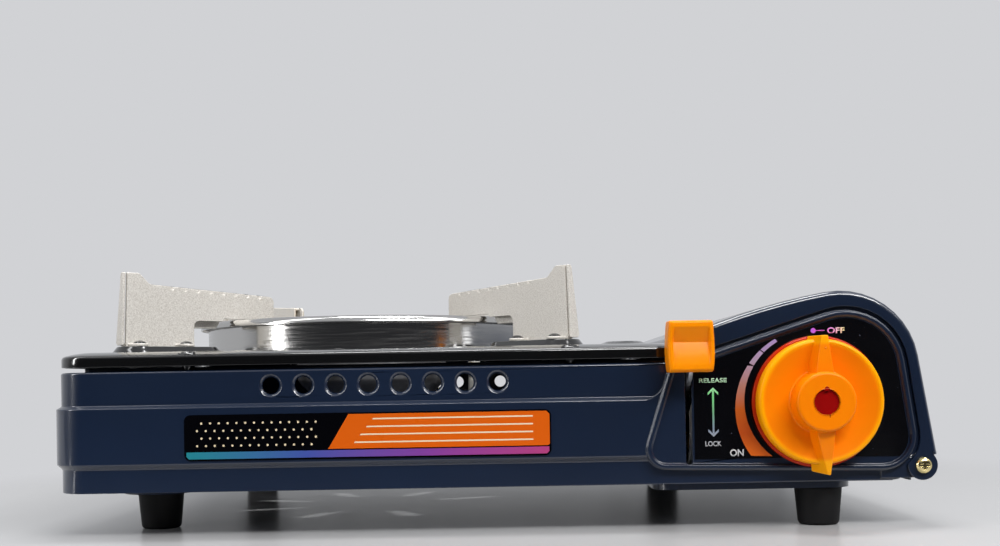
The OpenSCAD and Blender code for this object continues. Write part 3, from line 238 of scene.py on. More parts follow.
# %% Plastics and rubber
def moulded(name, colour, roughness, glow=0.0, peel=0.05):
    """A plastic or rubber; glow is the share of light that goes in and comes out again."""
    finish = Finish(name, colour, roughness, Subsurface_Weight=glow, Subsurface_Scale=2 * MM,
                    Specular_IOR_Level=0.15)
    finish.bump(finish.noise(300.0, 1.0), 0.1 * MM, peel)
    finish.roughness_from(finish.ramp(finish.noise(90.0), roughness - 0.03, roughness + 0.05))
    return finish.material


orange_plastic = moulded("orange_plastic", srgb(255, 146, 0), 0.3, 0.08)
red_plastic = moulded("red_plastic", srgb(146, 0, 0), 0.4)
white_plastic = moulded("white_plastic", srgb(232, 232, 228), 0.45)
black_plastic = moulded("black_plastic", srgb(34, 34, 34), 0.5)
plunger_plastic = moulded("plunger_plastic", srgb(205, 50, 32), 0.45)
ceramic = moulded("ceramic", srgb(240, 238, 230), 0.25)
wire_sleeve = moulded("wire_sleeve", srgb(228, 228, 226), 0.5)
foot_rubber = moulded("foot_rubber", srgb(24, 24, 25), 0.55)

# %% Sticker films
FILM_BLACK = srgb(4, 4, 7)
DUST_GREY = srgb(104, 110, 128)
sticker_film = moulded("sticker_film", FILM_BLACK, 0.12)
dust = Finish("dusty_film", FILM_BLACK, 0.14)
dust.colour_from(dust.ramp(dust.noise(900.0, 1.0), FILM_BLACK, DUST_GREY, 0.75, 0.8))
dust.roughness_from(dust.ramp(dust.noise(30.0), 0.1, 0.24))
dusty_film = dust.material

# %% A finish for every material of the model
FINISH_OF_SLOT = {
    "body_paint": navy_paint, "plated_steel": zinc_plate, "bright_steel": bright_steel,
    "gold_screw": gold_screw, "black_sticker": dusty_film, "orange_label": sticker_film,
    "foot_rubber": foot_rubber, "seal_rubber": foot_rubber, "cast_zinc": cast_zinc,
    "white_plastic": white_plastic, "wire_sleeve": wire_sleeve, "ceramic": ceramic, "brass": brass,
    "cast_aluminium": cast_aluminium, "black_enamel": black_enamel, "polished_steel": polished_steel,
    "grained_steel": grained_steel, "orange_plastic": orange_plastic, "red_plastic": red_plastic,
    "black_plastic": black_plastic, "plunger_plastic": plunger_plastic}
slot_of_node = {part["node"]: part["material_slot"] for part in frame["record"]["subparts"]}
nodes_of_body = frame["record"]["behaviour"]["bodies"]
body_of_node = {node: body for body, names in nodes_of_body.items() for node in names}
for node, cad_object in frame["nodes"].items():
    cad_object.data.materials.clear()
    cad_object.data.materials.append(FINISH_OF_SLOT[slot_of_node[node]])
print("finishes:", len(set(FINISH_OF_SLOT.values())))

# %% [markdown]
# ## Softened pieces
# No pressed or moulded edge is razor sharp, and it is the thin bright line along an edge that tells the
# eye what a thing is made of. So the visible pieces are copied, their loose triangles are welded, flat
# regions are joined, and a small bevel rounds each edge before the shading is smoothed. Flat walls with
# holes in them keep their triangles, because a face can't have a hole.


# %% Round the edges of a piece
SHARP_FROM = math.radians(35)
FLAT_UNDER = math.radians(0.3)


def round_edges(piece, radius):
    """Bevels the edges of a piece by a radius in millimetres and evens out its shading."""
    if radius:
        bevel = piece.modifiers.new("soft_edges", "BEVEL")
        bevel.width = radius * MM
        bevel.segments = 2
        bevel.limit_method = "ANGLE"
        bevel.angle_limit = SHARP_FROM
        bevel.use_clamp_overlap = False
        bevel.harden_normals = False
    shading = piece.modifiers.new("even_shading", "WEIGHTED_NORMAL")
    shading.keep_sharp = True
    shading.weight = 100
    result = bpy.data.meshes.new_from_object(piece.evaluated_get(bpy.context.evaluated_depsgraph_get()))
    piece.modifiers.clear()
    piece.data = result


def softened(node, radius, join_flat):
    """A copy of a piece with its edges rounded to a radius in millimetres, in place of the plain one."""
    piece = frame["nodes"][node].copy()
    piece.data = piece.data.copy()
    piece.name = node + "_soft"
    bpy.context.scene.collection.objects.link(piece)
    piece.parent = None
    mesh = bmesh.new()
    mesh.from_mesh(piece.data)
    bmesh.ops.remove_doubles(mesh, verts=mesh.verts, dist=2e-6)
    if join_flat:
        bmesh.ops.dissolve_limit(mesh, angle_limit=FLAT_UNDER, verts=mesh.verts, edges=mesh.edges,
                                 delimit={"NORMAL"})
    for face in mesh.faces:
        face.smooth = True
    mesh.to_mesh(piece.data)
    mesh.free()
    round_edges(piece, radius)
    for key in list(piece.keys()):
        if key.startswith("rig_"):
            del piece[key]
    piece.data.materials.clear()
    piece.data.materials.append(FINISH_OF_SLOT[slot_of_node[node]])
    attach(piece, body_of_node[node])
    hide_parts(node)


# radius of each piece's edges, in millimetres
SOFT = {"body_shell": 0.28, "cartridge_cover": 0.3, "top_plate": 0.3,
        "pan_support_front_left": 0.3, "pan_support_front_right": 0.3, "pan_support_rear_left": 0.3,
        "pan_support_rear_right": 0.3, "windshield_ring": 0.25,
        "foot_front_left": 0.4, "foot_front_right": 0.4, "foot_rear_left": 0.4, "foot_rear_right": 0.4,
        "hinge_screws": 0.2, "lever_arm": 0.2, "regulator_body": 0.4, "burner_cap": 0.3,
        "burner_body": 0.5, "mixing_tube": 0.2, "bay_divider": 0.2, "cartridge_cradle": 0.2}
PIERCED = ("body_shell", "top_plate", "bay_divider")
for node, radius in SOFT.items():
    softened(node, radius, node not in PIERCED)
print("softened:", len(SOFT))

# %% [markdown]
# ## Shells from profiles
# Moulded and turned pieces are made in mesh code from a few measured sections. One helper spins a profile
# about an axis, one joins sections into a bar, and one gives an outline a thickness. Each makes a closed
# shell, and shells of one moulding simply run into each other, as the moulded forms do. Outlines are lists
# of points in the plane of the front.


# %% Closed shells
def revolve(mesh, profile, place, around):
    """Spins a closed profile of (radius, height) pairs; place gives a point from two sides and a height."""
    rings = []
    for step in range(around):
        angle = 2 * math.pi * step / around
        rings.append([mesh.verts.new(place(radius * math.cos(angle), radius * math.sin(angle), height))
                      for radius, height in profile])
    count = len(profile)
    for step in range(around):
        here, there = rings[step], rings[(step + 1) % around]
        for k in range(count):
            following = (k + 1) % count
            if profile[k][0] > 0 or profile[following][0] > 0:
                mesh.faces.new((here[k], there[k], there[following], here[following]))


def loft(mesh, sections):
    """Joins sections with the same number of points into one closed shell with flat ends."""
    rows = [[mesh.verts.new(point) for point in section] for section in sections]
    for low, high in zip(rows, rows[1:]):
        for k in range(len(low)):
            following = (k + 1) % len(low)
            mesh.faces.new((low[k], low[following], high[following], high[k]))
    mesh.faces.new(rows[0])
    mesh.faces.new(rows[-1])


def rectangle(x0, z0, x1, z1):
    return [(x0, z0), (x1, z0), (x1, z1), (x0, z1)]


def arc(x, z, radius, start, end, step):
    """Points on a circle, from one angle up to another, in whole degrees."""
    angles = [math.radians(degrees) for degrees in range(start, end, step)]
    return [(x + radius * math.cos(angle), z + radius * math.sin(angle)) for angle in angles]


def slab(mesh, outline, place, low, high):
    """An outline of (x, z) pairs as a flat piece between two heights."""
    loft(mesh, [[place(x, z, height) for x, z in outline] for height in (low, high)])


def finished(mesh, name, body, finish, replaces=None, edge=0.0):
    """Makes a piece of a bmesh, with rounded edges where edge, in millimetres, asks for them."""
    bmesh.ops.remove_doubles(mesh, verts=mesh.verts, dist=1e-6)
    bmesh.ops.recalc_face_normals(mesh, faces=mesh.faces)
    for face in mesh.faces:
        face.smooth = True
    piece = bpy.data.objects.new(name, bpy.data.meshes.new(name))
    mesh.to_mesh(piece.data)
    mesh.free()
    bpy.context.scene.collection.objects.link(piece)
    round_edges(piece, edge)
    piece.data.materials.clear()
    piece.data.materials.append(finish)
    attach(piece, body)
    if replaces:
        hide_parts(replaces)
    print(name, len(piece.data.polygons), "faces")


# %% [markdown]
# ## The knob
# The knob is one moulding with a low skirt round its foot, drawn in a darker red that is partly its own
# deeper tone and partly painted shade under the rim. Its side rises to a rolled rim, and inside the
# rim the face is dished towards a tall hub. A grip bar crosses the face: its upper half is the pointer, and
# its lower half runs a little past the skirt, with a skewed end. All of it is measured from the axis.
# The rim is painted a lighter orange: a painted highlight that stands in for the light coming through its
# thin wall.

# %% Knob
KNOB_X = 298
KNOB_Z = 49
AROUND_KNOB = 128
AROUND_PLUG = 64


def on_knob(across, up, out):
    """A point from the knob's axis; out is the distance from the panel."""
    return at(KNOB_X + across, -out, KNOB_Z + up)


# the profile's parts in order: distance from the axis, distance from the panel
FOOT = [(22.8, 1.8), (23.9, 1.8), (24.15, 4.2)]
RIM = [(23.95, 7.4), (23.8, 8.2), (23.4, 8.75), (22.8, 9.0), (22.2, 8.95), (21.5, 8.6)]
DISH = [(18, 8.0), (14.4, 7.4), (12.7, 7.2), (12.0, 7.4), (11.75, 8.0)]
HUB = [(11.35, 15.0), (11.2, 15.7), (10.85, 16.2), (10.4, 16.42), (9.9, 16.45), (5.0, 16.45), (4.85, 16.3)]
BORE = [(4.85, 13.0), (3.3, 13.0), (3.3, 1.6), (8, 1.6), (8, 4.9), (21.4, 4.9)]


def bar_section(up, foot, low, left, right, high, skew=0.0):
    """Four points of the grip bar at one distance from the axis: a wide foot and a narrower top."""
    corners = [(-foot, low), (foot, low), (right, high), (left, high)]
    return [on_knob(across, up - skew * across, out) for across, out in corners]


knob = bmesh.new()
revolve(knob, FOOT + RIM + DISH + HUB + BORE, on_knob, AROUND_KNOB)
loft(knob, [bar_section(8.6, 5.2, 6.0, -3.7, 3.7, 14.4), bar_section(17, 4.6, 5.0, -2.4, 2.4, 14.0),
            bar_section(25.1, 3.85, 3.2, -0.9, 1.5, 13.4)])
loft(knob, [bar_section(-8.6, 5.1, 6.0, -3.7, 3.7, 14.4), bar_section(-18, 4.2, 5.0, -1.6, 3.3, 12.6),
            bar_section(-27.4, 3.1, 3.2, 1.5, 2.6, 10.2, 0.2)])

# a drop, pressed half a millimetre proud near the pointer's end, with its tip upwards
DROP_POINTS = 14
DROP_TIP = 3
drop = []
for k in range(DROP_POINTS):
    angle = math.radians(10 + 26.7 * k)
    tip = 1.4 if k == DROP_TIP else 0
    drop.append((0.55 * math.cos(angle) + 0.5, 20.2 + 0.6 * math.sin(angle) + tip))
slab(knob, drop, on_knob, 13.3, 13.95)

# %% The knob's orange, with a painted highlight on the rim
KNOB_ORANGE = srgb(248, 130, 0)
RIM_PAINTED_HIGHLIGHT = srgb(255, 166, 0)
RIM_STARTS = 21.3 * MM
RIM_FULL = 22.6 * MM

knob_finish = Finish("knob_plastic_painted_rim", KNOB_ORANGE, 0.3, Subsurface_Weight=0.08, Subsurface_Scale=2 * MM,
                     Specular_IOR_Level=0.15)
from_axis = knob_finish.nodes.new("ShaderNodeVectorMath")
from_axis.operation = "DISTANCE"
knob_finish.links.new(knob_finish.scaled((1, 0, 1)), from_axis.inputs[0])
axis_place = on_knob(0, 0, 0)
from_axis.inputs[1].default_value = (axis_place.x, 0, axis_place.z)
# the lighter rim is a painted highlight, standing in for the light that comes through the thin wall
painted_rim_highlight = knob_finish.nodes.new("ShaderNodeMapRange")
painted_rim_highlight.inputs["From Min"].default_value = RIM_STARTS
painted_rim_highlight.inputs["From Max"].default_value = RIM_FULL
knob_finish.links.new(from_axis.outputs["Value"], painted_rim_highlight.inputs["Value"])
knob_finish.colour_from(knob_finish.ramp(painted_rim_highlight.outputs[0], KNOB_ORANGE, RIM_PAINTED_HIGHLIGHT, 0.0, 1.0))
knob_finish.bump(knob_finish.noise(300.0, 1.0), 0.1 * MM, 0.05)
finished(knob, "knob_moulding", "knob", knob_finish.material, "control_knob", 0.35)

# %% Skirt, partly painted shade
SKIRT = [(22.6, 1.6), (25.1, 1.6), (25.3, 2.0), (25.3, 2.6), (25.0, 3.2), (24.3, 3.5), (22.6, 3.5)]
skirt = bmesh.new()
revolve(skirt, SKIRT, on_knob, AROUND_KNOB)
# the skirt's darker red is partly its own deeper tone and partly painted shade from the rim above it
shaded_skirt_plastic = moulded("shaded_skirt_plastic", srgb(176, 44, 10), 0.2, 0.1)
finished(skirt, "knob_skirt", "knob", shaded_skirt_plastic, None, 0.1)

# %% [markdown]
# A dark red plug closes the hub. Its key fills a notch at the top of the bore, and a fine moulding nick
# shows at the bottom. The plug lies about a millimetre below the hub's end.

# %% Plug in the hub
PLUG_BODY = [(0, 13.1), (4.8, 13.1), (4.8, 15.3), (4.65, 15.4), (0, 15.4)]
KEY_FOOT = [(-0.85, 4.2), (0.85, 4.2)]
NICK = [(0.75, -5.9), (1.2, -5.8), (1.15, -4.6), (0.8, -4.6)]
plug = bmesh.new()
revolve(plug, PLUG_BODY, on_knob, AROUND_PLUG)
slab(plug, arc(0, 5.0, 0.85, 0, 181, 20) + KEY_FOOT, on_knob, 14.6, 16.5)
slab(plug, NICK, on_knob, 14.6, 16.48)
finished(plug, "hub_plug", "knob", red_plastic, "knob_insert", 0.1)

# %% [markdown]
# ## The lever's finger tab
# A fingertip pulls the tab down or pushes it up. Its face has a proud lip at the top, a hollow that slopes
# in under the lip to a crisp crease, and a face that comes out again below. The sides stay proud and bulge
# by half a millimetre. Sections from the bottom to the top are joined into one shell.

# %% Finger tab
TAB_X = 248.4
TAB_BACK = 2.6
# height, half width, reach of the margins and of the middle, from the panel
TAB_SECTIONS = [
    (61.0, 8.0, 10.3, 10.1), (61.3, 8.3, 11.3, 11.1), (62.1, 8.5, 12.0, 11.8), (64, 8.75, 12.2, 11.8),
    (68, 9.0, 12.1, 11.1), (72.3, 8.95, 11.8, 9.5), (72.6, 8.95, 11.8, 9.5), (77.8, 8.6, 12.3, 12.1),
    (78.3, 8.55, 12.4, 12.3), (79.8, 8.4, 12.4, 12.3), (80.4, 8.2, 11.9, 11.8), (80.6, 7.9, 11.2, 11.1)]


def tab_section(z, half, margin, middle):
    """Half of the outline from the back to the front, then its mirror image."""
    side = [(half - 0.3, TAB_BACK), (half, TAB_BACK + 0.4), (half, margin - 1.2),
            (half - 0.35, margin - 0.35), (half - 1.1, margin), (half - 1.5, margin), (half - 2.3, middle)]
    outline = side + [(-across, out) for across, out in reversed(side)]
    return [at(TAB_X + across, -out, z) for across, out in outline]


tab = bmesh.new()
loft(tab, [tab_section(*section) for section in TAB_SECTIONS])
finished(tab, "finger_tab", "lever", orange_plastic, "lever_tab", 0.3)

# %% [markdown]
# ## Marks on the control panel
# The marks are printed in inks that shift colour from one end to the other. Each mark is a film a few
# hundredths of a millimetre thick on the sticker. The level mark is the crescent between two circles that
# do not share a centre, cut flat at the bottom and split by two fine gaps.


# %% Inks
def ink(name, tones, axis, start, end):
    """An ink whose colour changes along one axis, from start to end in millimetres."""
    finish = Finish(name, tones[0], 0.35)
    parts = finish.nodes.new("ShaderNodeSeparateXYZ")
    finish.links.new(finish.place, parts.inputs[0])
    along = finish.nodes.new("ShaderNodeMapRange")
    for limit, measure in (("From Min", start), ("From Max", end)):
        along.inputs[limit].default_value = getattr(at(measure, measure, measure), axis)
    finish.links.new(parts.outputs[axis.upper()], along.inputs["Value"])
    colours = finish.nodes.new("ShaderNodeValToRGB")
    stops = colours.color_ramp.elements
    while len(stops) < len(tones):
        stops.new(0.5)
    for k, tone in enumerate(tones):
        stops[k].position = k / (len(tones) - 1)
        stops[k].color = tone
    finish.links.new(along.outputs[0], colours.inputs["Fac"])
    finish.colour_from(colours.outputs["Color"])
    return finish.material


off_ink = ink("off_ink", [srgb(150, 110, 235), srgb(235, 90, 225), srgb(240, 160, 225), srgb(245, 235, 150)],
              "x", 295, 310)
level_ink = ink("level_ink", [srgb(226, 106, 14), srgb(186, 74, 8), srgb(190, 88, 16), srgb(172, 118, 104),
                              srgb(172, 150, 176), srgb(168, 146, 208)], "z", 28, 74)
lock_ink = ink("lock_ink", [srgb(172, 172, 176), srgb(122, 136, 156), srgb(112, 170, 128),
                            srgb(120, 212, 132), srgb(186, 226, 190)], "z", 33, 58)
plain_ink = ink("plain_ink", [srgb(206, 206, 206), srgb(196, 196, 200)], "x", 264, 270)

# %% Marks
FILM_LOW = 0.28
FILM_HIGH = 0.33
LETTER_BOLDNESS = 0.02


def on_panel(x, z, out):
    """A point on the front; out is the distance from the front face."""
    return at(x, -out, z)


def film(mesh, outline, low=FILM_LOW, high=FILM_HIGH):
    """A printed form: an outline that is a few hundredths of a millimetre thick."""
    slab(mesh, outline, on_panel, low, high)


def left_of_circle(x, z, radius, height):
    """The point of a circle's left half at one height."""
    return (x - math.sqrt(radius * radius - (height - z) ** 2), height)


def lettering(mesh, text, x0, z0, x1, z1):
    """Plain block letters that fill a rectangle on the panel."""
    curve = bpy.data.curves.new(text, "FONT")
    curve.body = text
    curve.offset = LETTER_BOLDNESS
    curve.extrude = 0.5
    carrier = bpy.data.objects.new(text, curve)
    bpy.context.scene.collection.objects.link(carrier)
    flat = bpy.data.meshes.new_from_object(carrier.evaluated_get(bpy.context.evaluated_depsgraph_get()))
    bpy.data.objects.remove(carrier)
    xs = [vertex.co.x for vertex in flat.vertices]
    ys = [vertex.co.y for vertex in flat.vertices]
    for vertex in flat.vertices:
        across = (vertex.co.x - min(xs)) / (max(xs) - min(xs))
        up = (vertex.co.y - min(ys)) / (max(ys) - min(ys))
        out = FILM_LOW if vertex.co.z < 0 else FILM_HIGH
        vertex.co = on_panel(x0 + across * (x1 - x0), z0 + up * (z1 - z0), out)
    mesh.from_mesh(flat)


# %% Level mark
# x, z and radius of the crescent's two circles
OUTER_CIRCLE = (297.65, 46.4, 30.9)
INNER_CIRCLE = (296.95, 49.3, 26.7)
# bottom and top of each part between the gaps, and the lift of its outer edge: the two upper parts end
# square to the crescent
LEVEL_PARTS = ((28.4, 63.2, 0.0), (63.5, 68.3, 0.7), (68.6, 72.6, 0.7))
STEPS = 16
level = bmesh.new()
for bottom, top, lift in LEVEL_PARTS:
    heights = [bottom + (top - bottom) * k / STEPS for k in range(STEPS + 1)]
    outer_edge = [left_of_circle(*OUTER_CIRCLE, z + lift) for z in heights]
    inner_edge = [left_of_circle(*INNER_CIRCLE, z - 0.3) for z in heights]
    film(level, outer_edge + inner_edge[::-1])
finished(level, "level_mark", "housing", level_ink)

# %% Marks in words
off_mark = bmesh.new()
film(off_mark, arc(297.3, 76.3, 1.0, 0, 360, 15))
film(off_mark, rectangle(298.4, 76.17, 301.7, 76.43))
lettering(off_mark, "OFF", 302.7, 75.1, 309.4, 77.4)
finished(off_mark, "off_mark", "housing", off_ink)

on_mark = bmesh.new()
lettering(on_mark, "ON", 264.4, 28.3, 269.7, 31.0)
finished(on_mark, "on_mark", "housing", plain_ink)

ARROW_X = 258.2
SHAFT_HALF = 0.35
ARROW_HEAD = [(-2.0, 2.9), (-2.0, 1.9), (0, 0), (2.0, 1.9), (2.0, 2.9), (0, 1.0)]
lock_mark = bmesh.new()
lettering(lock_mark, "RELEASE", 252.9, 56.9, 263.6, 58.6)
lettering(lock_mark, "LOCK", 254.9, 32.3, 261.2, 34.3)
for tip, sign in ((55.0, -1), (36.0, 1)):
    film(lock_mark, [(ARROW_X + across, tip + sign * back) for across, back in ARROW_HEAD])
film(lock_mark, rectangle(ARROW_X - SHAFT_HALF, 37.2, ARROW_X + SHAFT_HALF, 53.8))
finished(lock_mark, "lock_mark", "housing", lock_ink)

# %% [markdown]
# ## Name plate
# The plate on the front carries no name here: a black field with rows of light dots, an orange field
# with thin cream lines and a strip that runs from teal to purple. The dots repeat, so Geometry Nodes set
# them out: a grid of points gets one small disc on each.


# %% A tree that puts one small form on each point
def node_tree(name, sizes):
    """An empty geometry tree with a geometry input, named sizes and a geometry output."""
    tree = bpy.data.node_groups.new(name, "GeometryNodeTree")
    tree.interface.new_socket("Geometry", in_out="INPUT", socket_type="NodeSocketGeometry")
    tree.interface.new_socket("Geometry", in_out="OUTPUT", socket_type="NodeSocketGeometry")
    for size, value in sizes.items():
        socket = tree.interface.new_socket(size, in_out="INPUT", socket_type="NodeSocketFloat")
        socket.default_value = value
    tree.interface.new_socket("Finish", in_out="INPUT", socket_type="NodeSocketMaterial")
    return tree, tree.nodes.new("NodeGroupInput"), tree.nodes.new("NodeGroupOutput")


def spread(name, tree, points, inputs, body, finish):
    """Runs a tree on loose points, each with a normal, and keeps the result as one plain mesh."""
    data = bpy.data.meshes.new(name)
    data.from_pydata([place for place, facing in points], [], [])
    facing_attribute = data.attributes.new("facing", "FLOAT_VECTOR", "POINT")
    for k, (place, facing) in enumerate(points):
        facing_attribute.data[k].vector = facing
    piece = bpy.data.objects.new(name, data)
    bpy.context.scene.collection.objects.link(piece)
    modifier = piece.modifiers.new("spread", "NODES")
    modifier.node_group = tree
    for socket in tree.interface.items_tree:
        if socket.in_out == "INPUT" and socket.name in inputs:
            modifier[socket.identifier] = inputs[socket.name]
        if socket.in_out == "INPUT" and socket.name == "Finish":
            modifier[socket.identifier] = finish
    result = bpy.data.meshes.new_from_object(piece.evaluated_get(bpy.context.evaluated_depsgraph_get()))
    piece.modifiers.clear()
    piece.data = result
    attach(piece, body)
    print(name, len(points), "places,", len(result.polygons), "faces")


def facing_rotation(tree):
    """Nodes that turn the z axis of a form towards the point's stored direction."""
    stored = tree.nodes.new("GeometryNodeInputNamedAttribute")
    stored.data_type = "FLOAT_VECTOR"
    stored.inputs["Name"].default_value = "facing"
    align = tree.nodes.new("FunctionNodeAlignRotationToVector")
    align.axis = "Z"
    tree.links.new(stored.outputs["Attribute"], align.inputs["Vector"])
    return align.outputs["Rotation"]


def place_on_points(tree, group_in, group_out, form):
    """Ends a tree: the form on every point, turned outwards, made real and given its finish."""
    instances = tree.nodes.new("GeometryNodeInstanceOnPoints")
    tree.links.new(group_in.outputs["Geometry"], instances.inputs["Points"])
    tree.links.new(form, instances.inputs["Instance"])
    tree.links.new(facing_rotation(tree), instances.inputs["Rotation"])
    real = tree.nodes.new("GeometryNodeRealizeInstances")
    coat = tree.nodes.new("GeometryNodeSetMaterial")
    tree.links.new(instances.outputs["Instances"], real.inputs["Geometry"])
    tree.links.new(real.outputs["Geometry"], coat.inputs["Geometry"])
    tree.links.new(group_in.outputs["Finish"], coat.inputs["Material"])
    tree.links.new(coat.outputs["Geometry"], group_out.inputs["Geometry"])


def cylinder_node(tree, sides, radius, depth):
    """A closed cylinder whose radius and depth come from two sockets."""
    node = tree.nodes.new("GeometryNodeMeshCylinder")
    node.inputs["Vertices"].default_value = sides
    tree.links.new(radius, node.inputs["Radius"])
    tree.links.new(depth, node.inputs["Depth"])
    return node.outputs["Mesh"]


disc_tree, disc_in, disc_out = node_tree("printed_dots", {"Radius": 0.4 * MM, "Thickness": 0.04 * MM})
place_on_points(disc_tree, disc_in, disc_out,
                cylinder_node(disc_tree, 16, disc_in.outputs["Radius"], disc_in.outputs["Thickness"]))

# %% Plate fields
plate_low, plate_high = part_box("name_label")
PLATE_X0 = plate_low[0] / MM + MIDDLE[0]
PLATE_X1 = plate_high[0] / MM + MIDDLE[0]
PLATE_Z0 = plate_low[2] / MM
PLATE_Z1 = plate_high[2] / MM
SPLIT = PLATE_X0 + 0.42 * (PLATE_X1 - PLATE_X0)
SLANT = 4.0
STRIP_TOP = PLATE_Z0 + 3.4
PRINT_HIGH = 0.32

orange_print = moulded("orange_print", srgb(214, 92, 12), 0.3, peel=0.02)
cream_print = moulded("cream_print", srgb(232, 214, 178), 0.35, peel=0.02)
strip_ink = ink("strip_ink", [srgb(24, 128, 138), srgb(60, 78, 158), srgb(128, 58, 150), srgb(176, 60, 120)],
                "x", PLATE_X0, PLATE_X1)

orange_field = bmesh.new()
right, bottom, top = PLATE_X1 - 0.6, STRIP_TOP + 0.5, PLATE_Z1 - 0.6
film(orange_field, [(SPLIT - SLANT, bottom), (right - 0.6, bottom), (right, bottom + 0.6),
                    (right, top - 1.2), (right - 1.2, top), (SPLIT + SLANT, top)], high=PRINT_HIGH)
finished(orange_field, "plate_orange", "housing", orange_print)

strip = bmesh.new()
left, right, bottom = PLATE_X0 + 0.8, PLATE_X1 - 0.8, PLATE_Z0 + 0.7
film(strip, [(left + 1, bottom), (right - 1, bottom), (right, bottom + 1),
             (right, STRIP_TOP), (left, STRIP_TOP), (left, bottom + 1)], high=PRINT_HIGH)
finished(strip, "plate_strip", "housing", strip_ink)

# %% Lines and dots of the plate
LINE_COUNT = 4
LINE_THICK = 0.55
DOT_ROWS = 4
DOT_COLUMNS = 14
DOT_PITCH = 3.4
ROW_PITCH = 2.9

lines = bmesh.new()
for k in range(LINE_COUNT):
    start, end = SPLIT + 6 + 2.4 * k, PLATE_X1 - 7
    low = STRIP_TOP + 2.6 + 3.0 * k
    high = low + LINE_THICK
    film(lines, [(start, low), (end, low), (end, high), (start + 0.3, high)], 0.3, 0.34)
finished(lines, "plate_lines", "housing", cream_print)

dots = []
for row in range(DOT_ROWS):
    stagger = DOT_PITCH / 2 * (row % 2)
    for column in range(DOT_COLUMNS):
        x = PLATE_X0 + 5 + DOT_PITCH * column + stagger
        z = STRIP_TOP + 2.4 + ROW_PITCH * row
        dots.append((at(x, -0.31, z), (0, -1, 0)))
spread("plate_dots", disc_tree, dots, {"Radius": 0.42 * MM, "Thickness": 0.05 * MM}, "housing",
       cream_print)

# %% [markdown]
# ## Screws
# A screw head is a flattened dome with a crossed recess. One tree makes the head once, cuts the cross with
# two bars and puts the result on every screw, turned to face outwards.


# %% A tree for screw heads
def dome_node(tree, radius, height):
    """A sphere squeezed to a low dome."""
    sphere = tree.nodes.new("GeometryNodeMeshUVSphere")
    sphere.inputs["Segments"].default_value = 40
    sphere.inputs["Rings"].default_value = 20
    sphere.inputs["Radius"].default_value = 1.0
    scale = tree.nodes.new("ShaderNodeCombineXYZ")
    tree.links.new(radius, scale.inputs["X"])
    tree.links.new(radius, scale.inputs["Y"])
    tree.links.new(height, scale.inputs["Z"])
    shape = tree.nodes.new("GeometryNodeTransform")
    tree.links.new(sphere.outputs["Mesh"], shape.inputs["Geometry"])
    tree.links.new(scale.outputs["Vector"], shape.inputs["Scale"])
    return shape.outputs["Geometry"]


def bar_node(tree, size_x, size_y, size_z, lift):
    """A bar of the recess, lifted to the top of the head."""
    cube = tree.nodes.new("GeometryNodeMeshCube")
    size = tree.nodes.new("ShaderNodeCombineXYZ")
    for axis, value in zip("XYZ", (size_x, size_y, size_z)):
        tree.links.new(value, size.inputs[axis])
    move = tree.nodes.new("GeometryNodeTransform")
    offset = tree.nodes.new("ShaderNodeCombineXYZ")
    tree.links.new(lift, offset.inputs["Z"])
    tree.links.new(size.outputs["Vector"], cube.inputs["Size"])
    tree.links.new(cube.outputs["Mesh"], move.inputs["Geometry"])
    tree.links.new(offset.outputs["Vector"], move.inputs["Translation"])
    return move.outputs["Geometry"]


screw_tree, screw_in, screw_out = node_tree("cross_head", {
    "Radius": 2.8 * MM, "Height": 1.3 * MM, "Recess length": 3 * MM, "Recess width": 0.6 * MM})
head = dome_node(screw_tree, screw_in.outputs["Radius"], screw_in.outputs["Height"])
cut = screw_tree.nodes.new("GeometryNodeMeshBoolean")
cut.operation = "DIFFERENCE"
cut.solver = "EXACT"
screw_tree.links.new(head, cut.inputs["Mesh 1"])
long_side, short_side = screw_in.outputs["Recess length"], screw_in.outputs["Recess width"]
for sides in ((long_side, short_side), (short_side, long_side)):
    bar = bar_node(screw_tree, *sides, screw_in.outputs["Height"], screw_in.outputs["Height"])
    screw_tree.links.new(bar, cut.inputs["Mesh 2"])
place_on_points(screw_tree, screw_in, screw_out, cut.outputs["Mesh"])


# %% Places of the screws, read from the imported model
def islands(node):
    """The box of each separate solid in a node, as two corners."""
    mesh = bmesh.new()
    mesh.from_mesh(frame["nodes"][node].data)
    bmesh.ops.remove_doubles(mesh, verts=mesh.verts, dist=2e-6)
    seen, boxes = set(), []
    for start in mesh.verts:
        if start in seen:
            continue
        group, waiting = [], [start]
        seen.add(start)
        while waiting:
            vertex = waiting.pop()
            group.append(vertex.co.copy())
            for edge in vertex.link_edges:
                other = edge.other_vert(vertex)
                if other not in seen:
                    seen.add(other)
                    waiting.append(other)
        boxes.append([Vector(pick(point[k] for point in group) for k in range(3)) for pick in (min, max)])
    mesh.free()
    return boxes


def head_places(node, facing_of, inset):
    """A point on each screw's outer end, inset by a length in metres, with the way that the head faces."""
    places = []
    for low, high in islands(node):
        middle = (low + high) / 2
        facing = Vector(facing_of(middle))
        reach = sum(abs(facing[k]) * (high[k] - low[k]) / 2 for k in range(3))
        places.append((middle + facing * (reach - inset), facing))
    return places


def head_radius(node):
    """Half the second longest side of the first solid: the radius of a head on a longer shank."""
    low, high = islands(node)[0]
    return sorted(high - low)[1] / 2


def outwards_x(place):
    return (1 if place.x > 0 else -1, 0, 0)


def outwards_y(place):
    return (0, 1 if place.y > 0 else -1, 0)


def downwards(place):
    return (0, 0, -1)


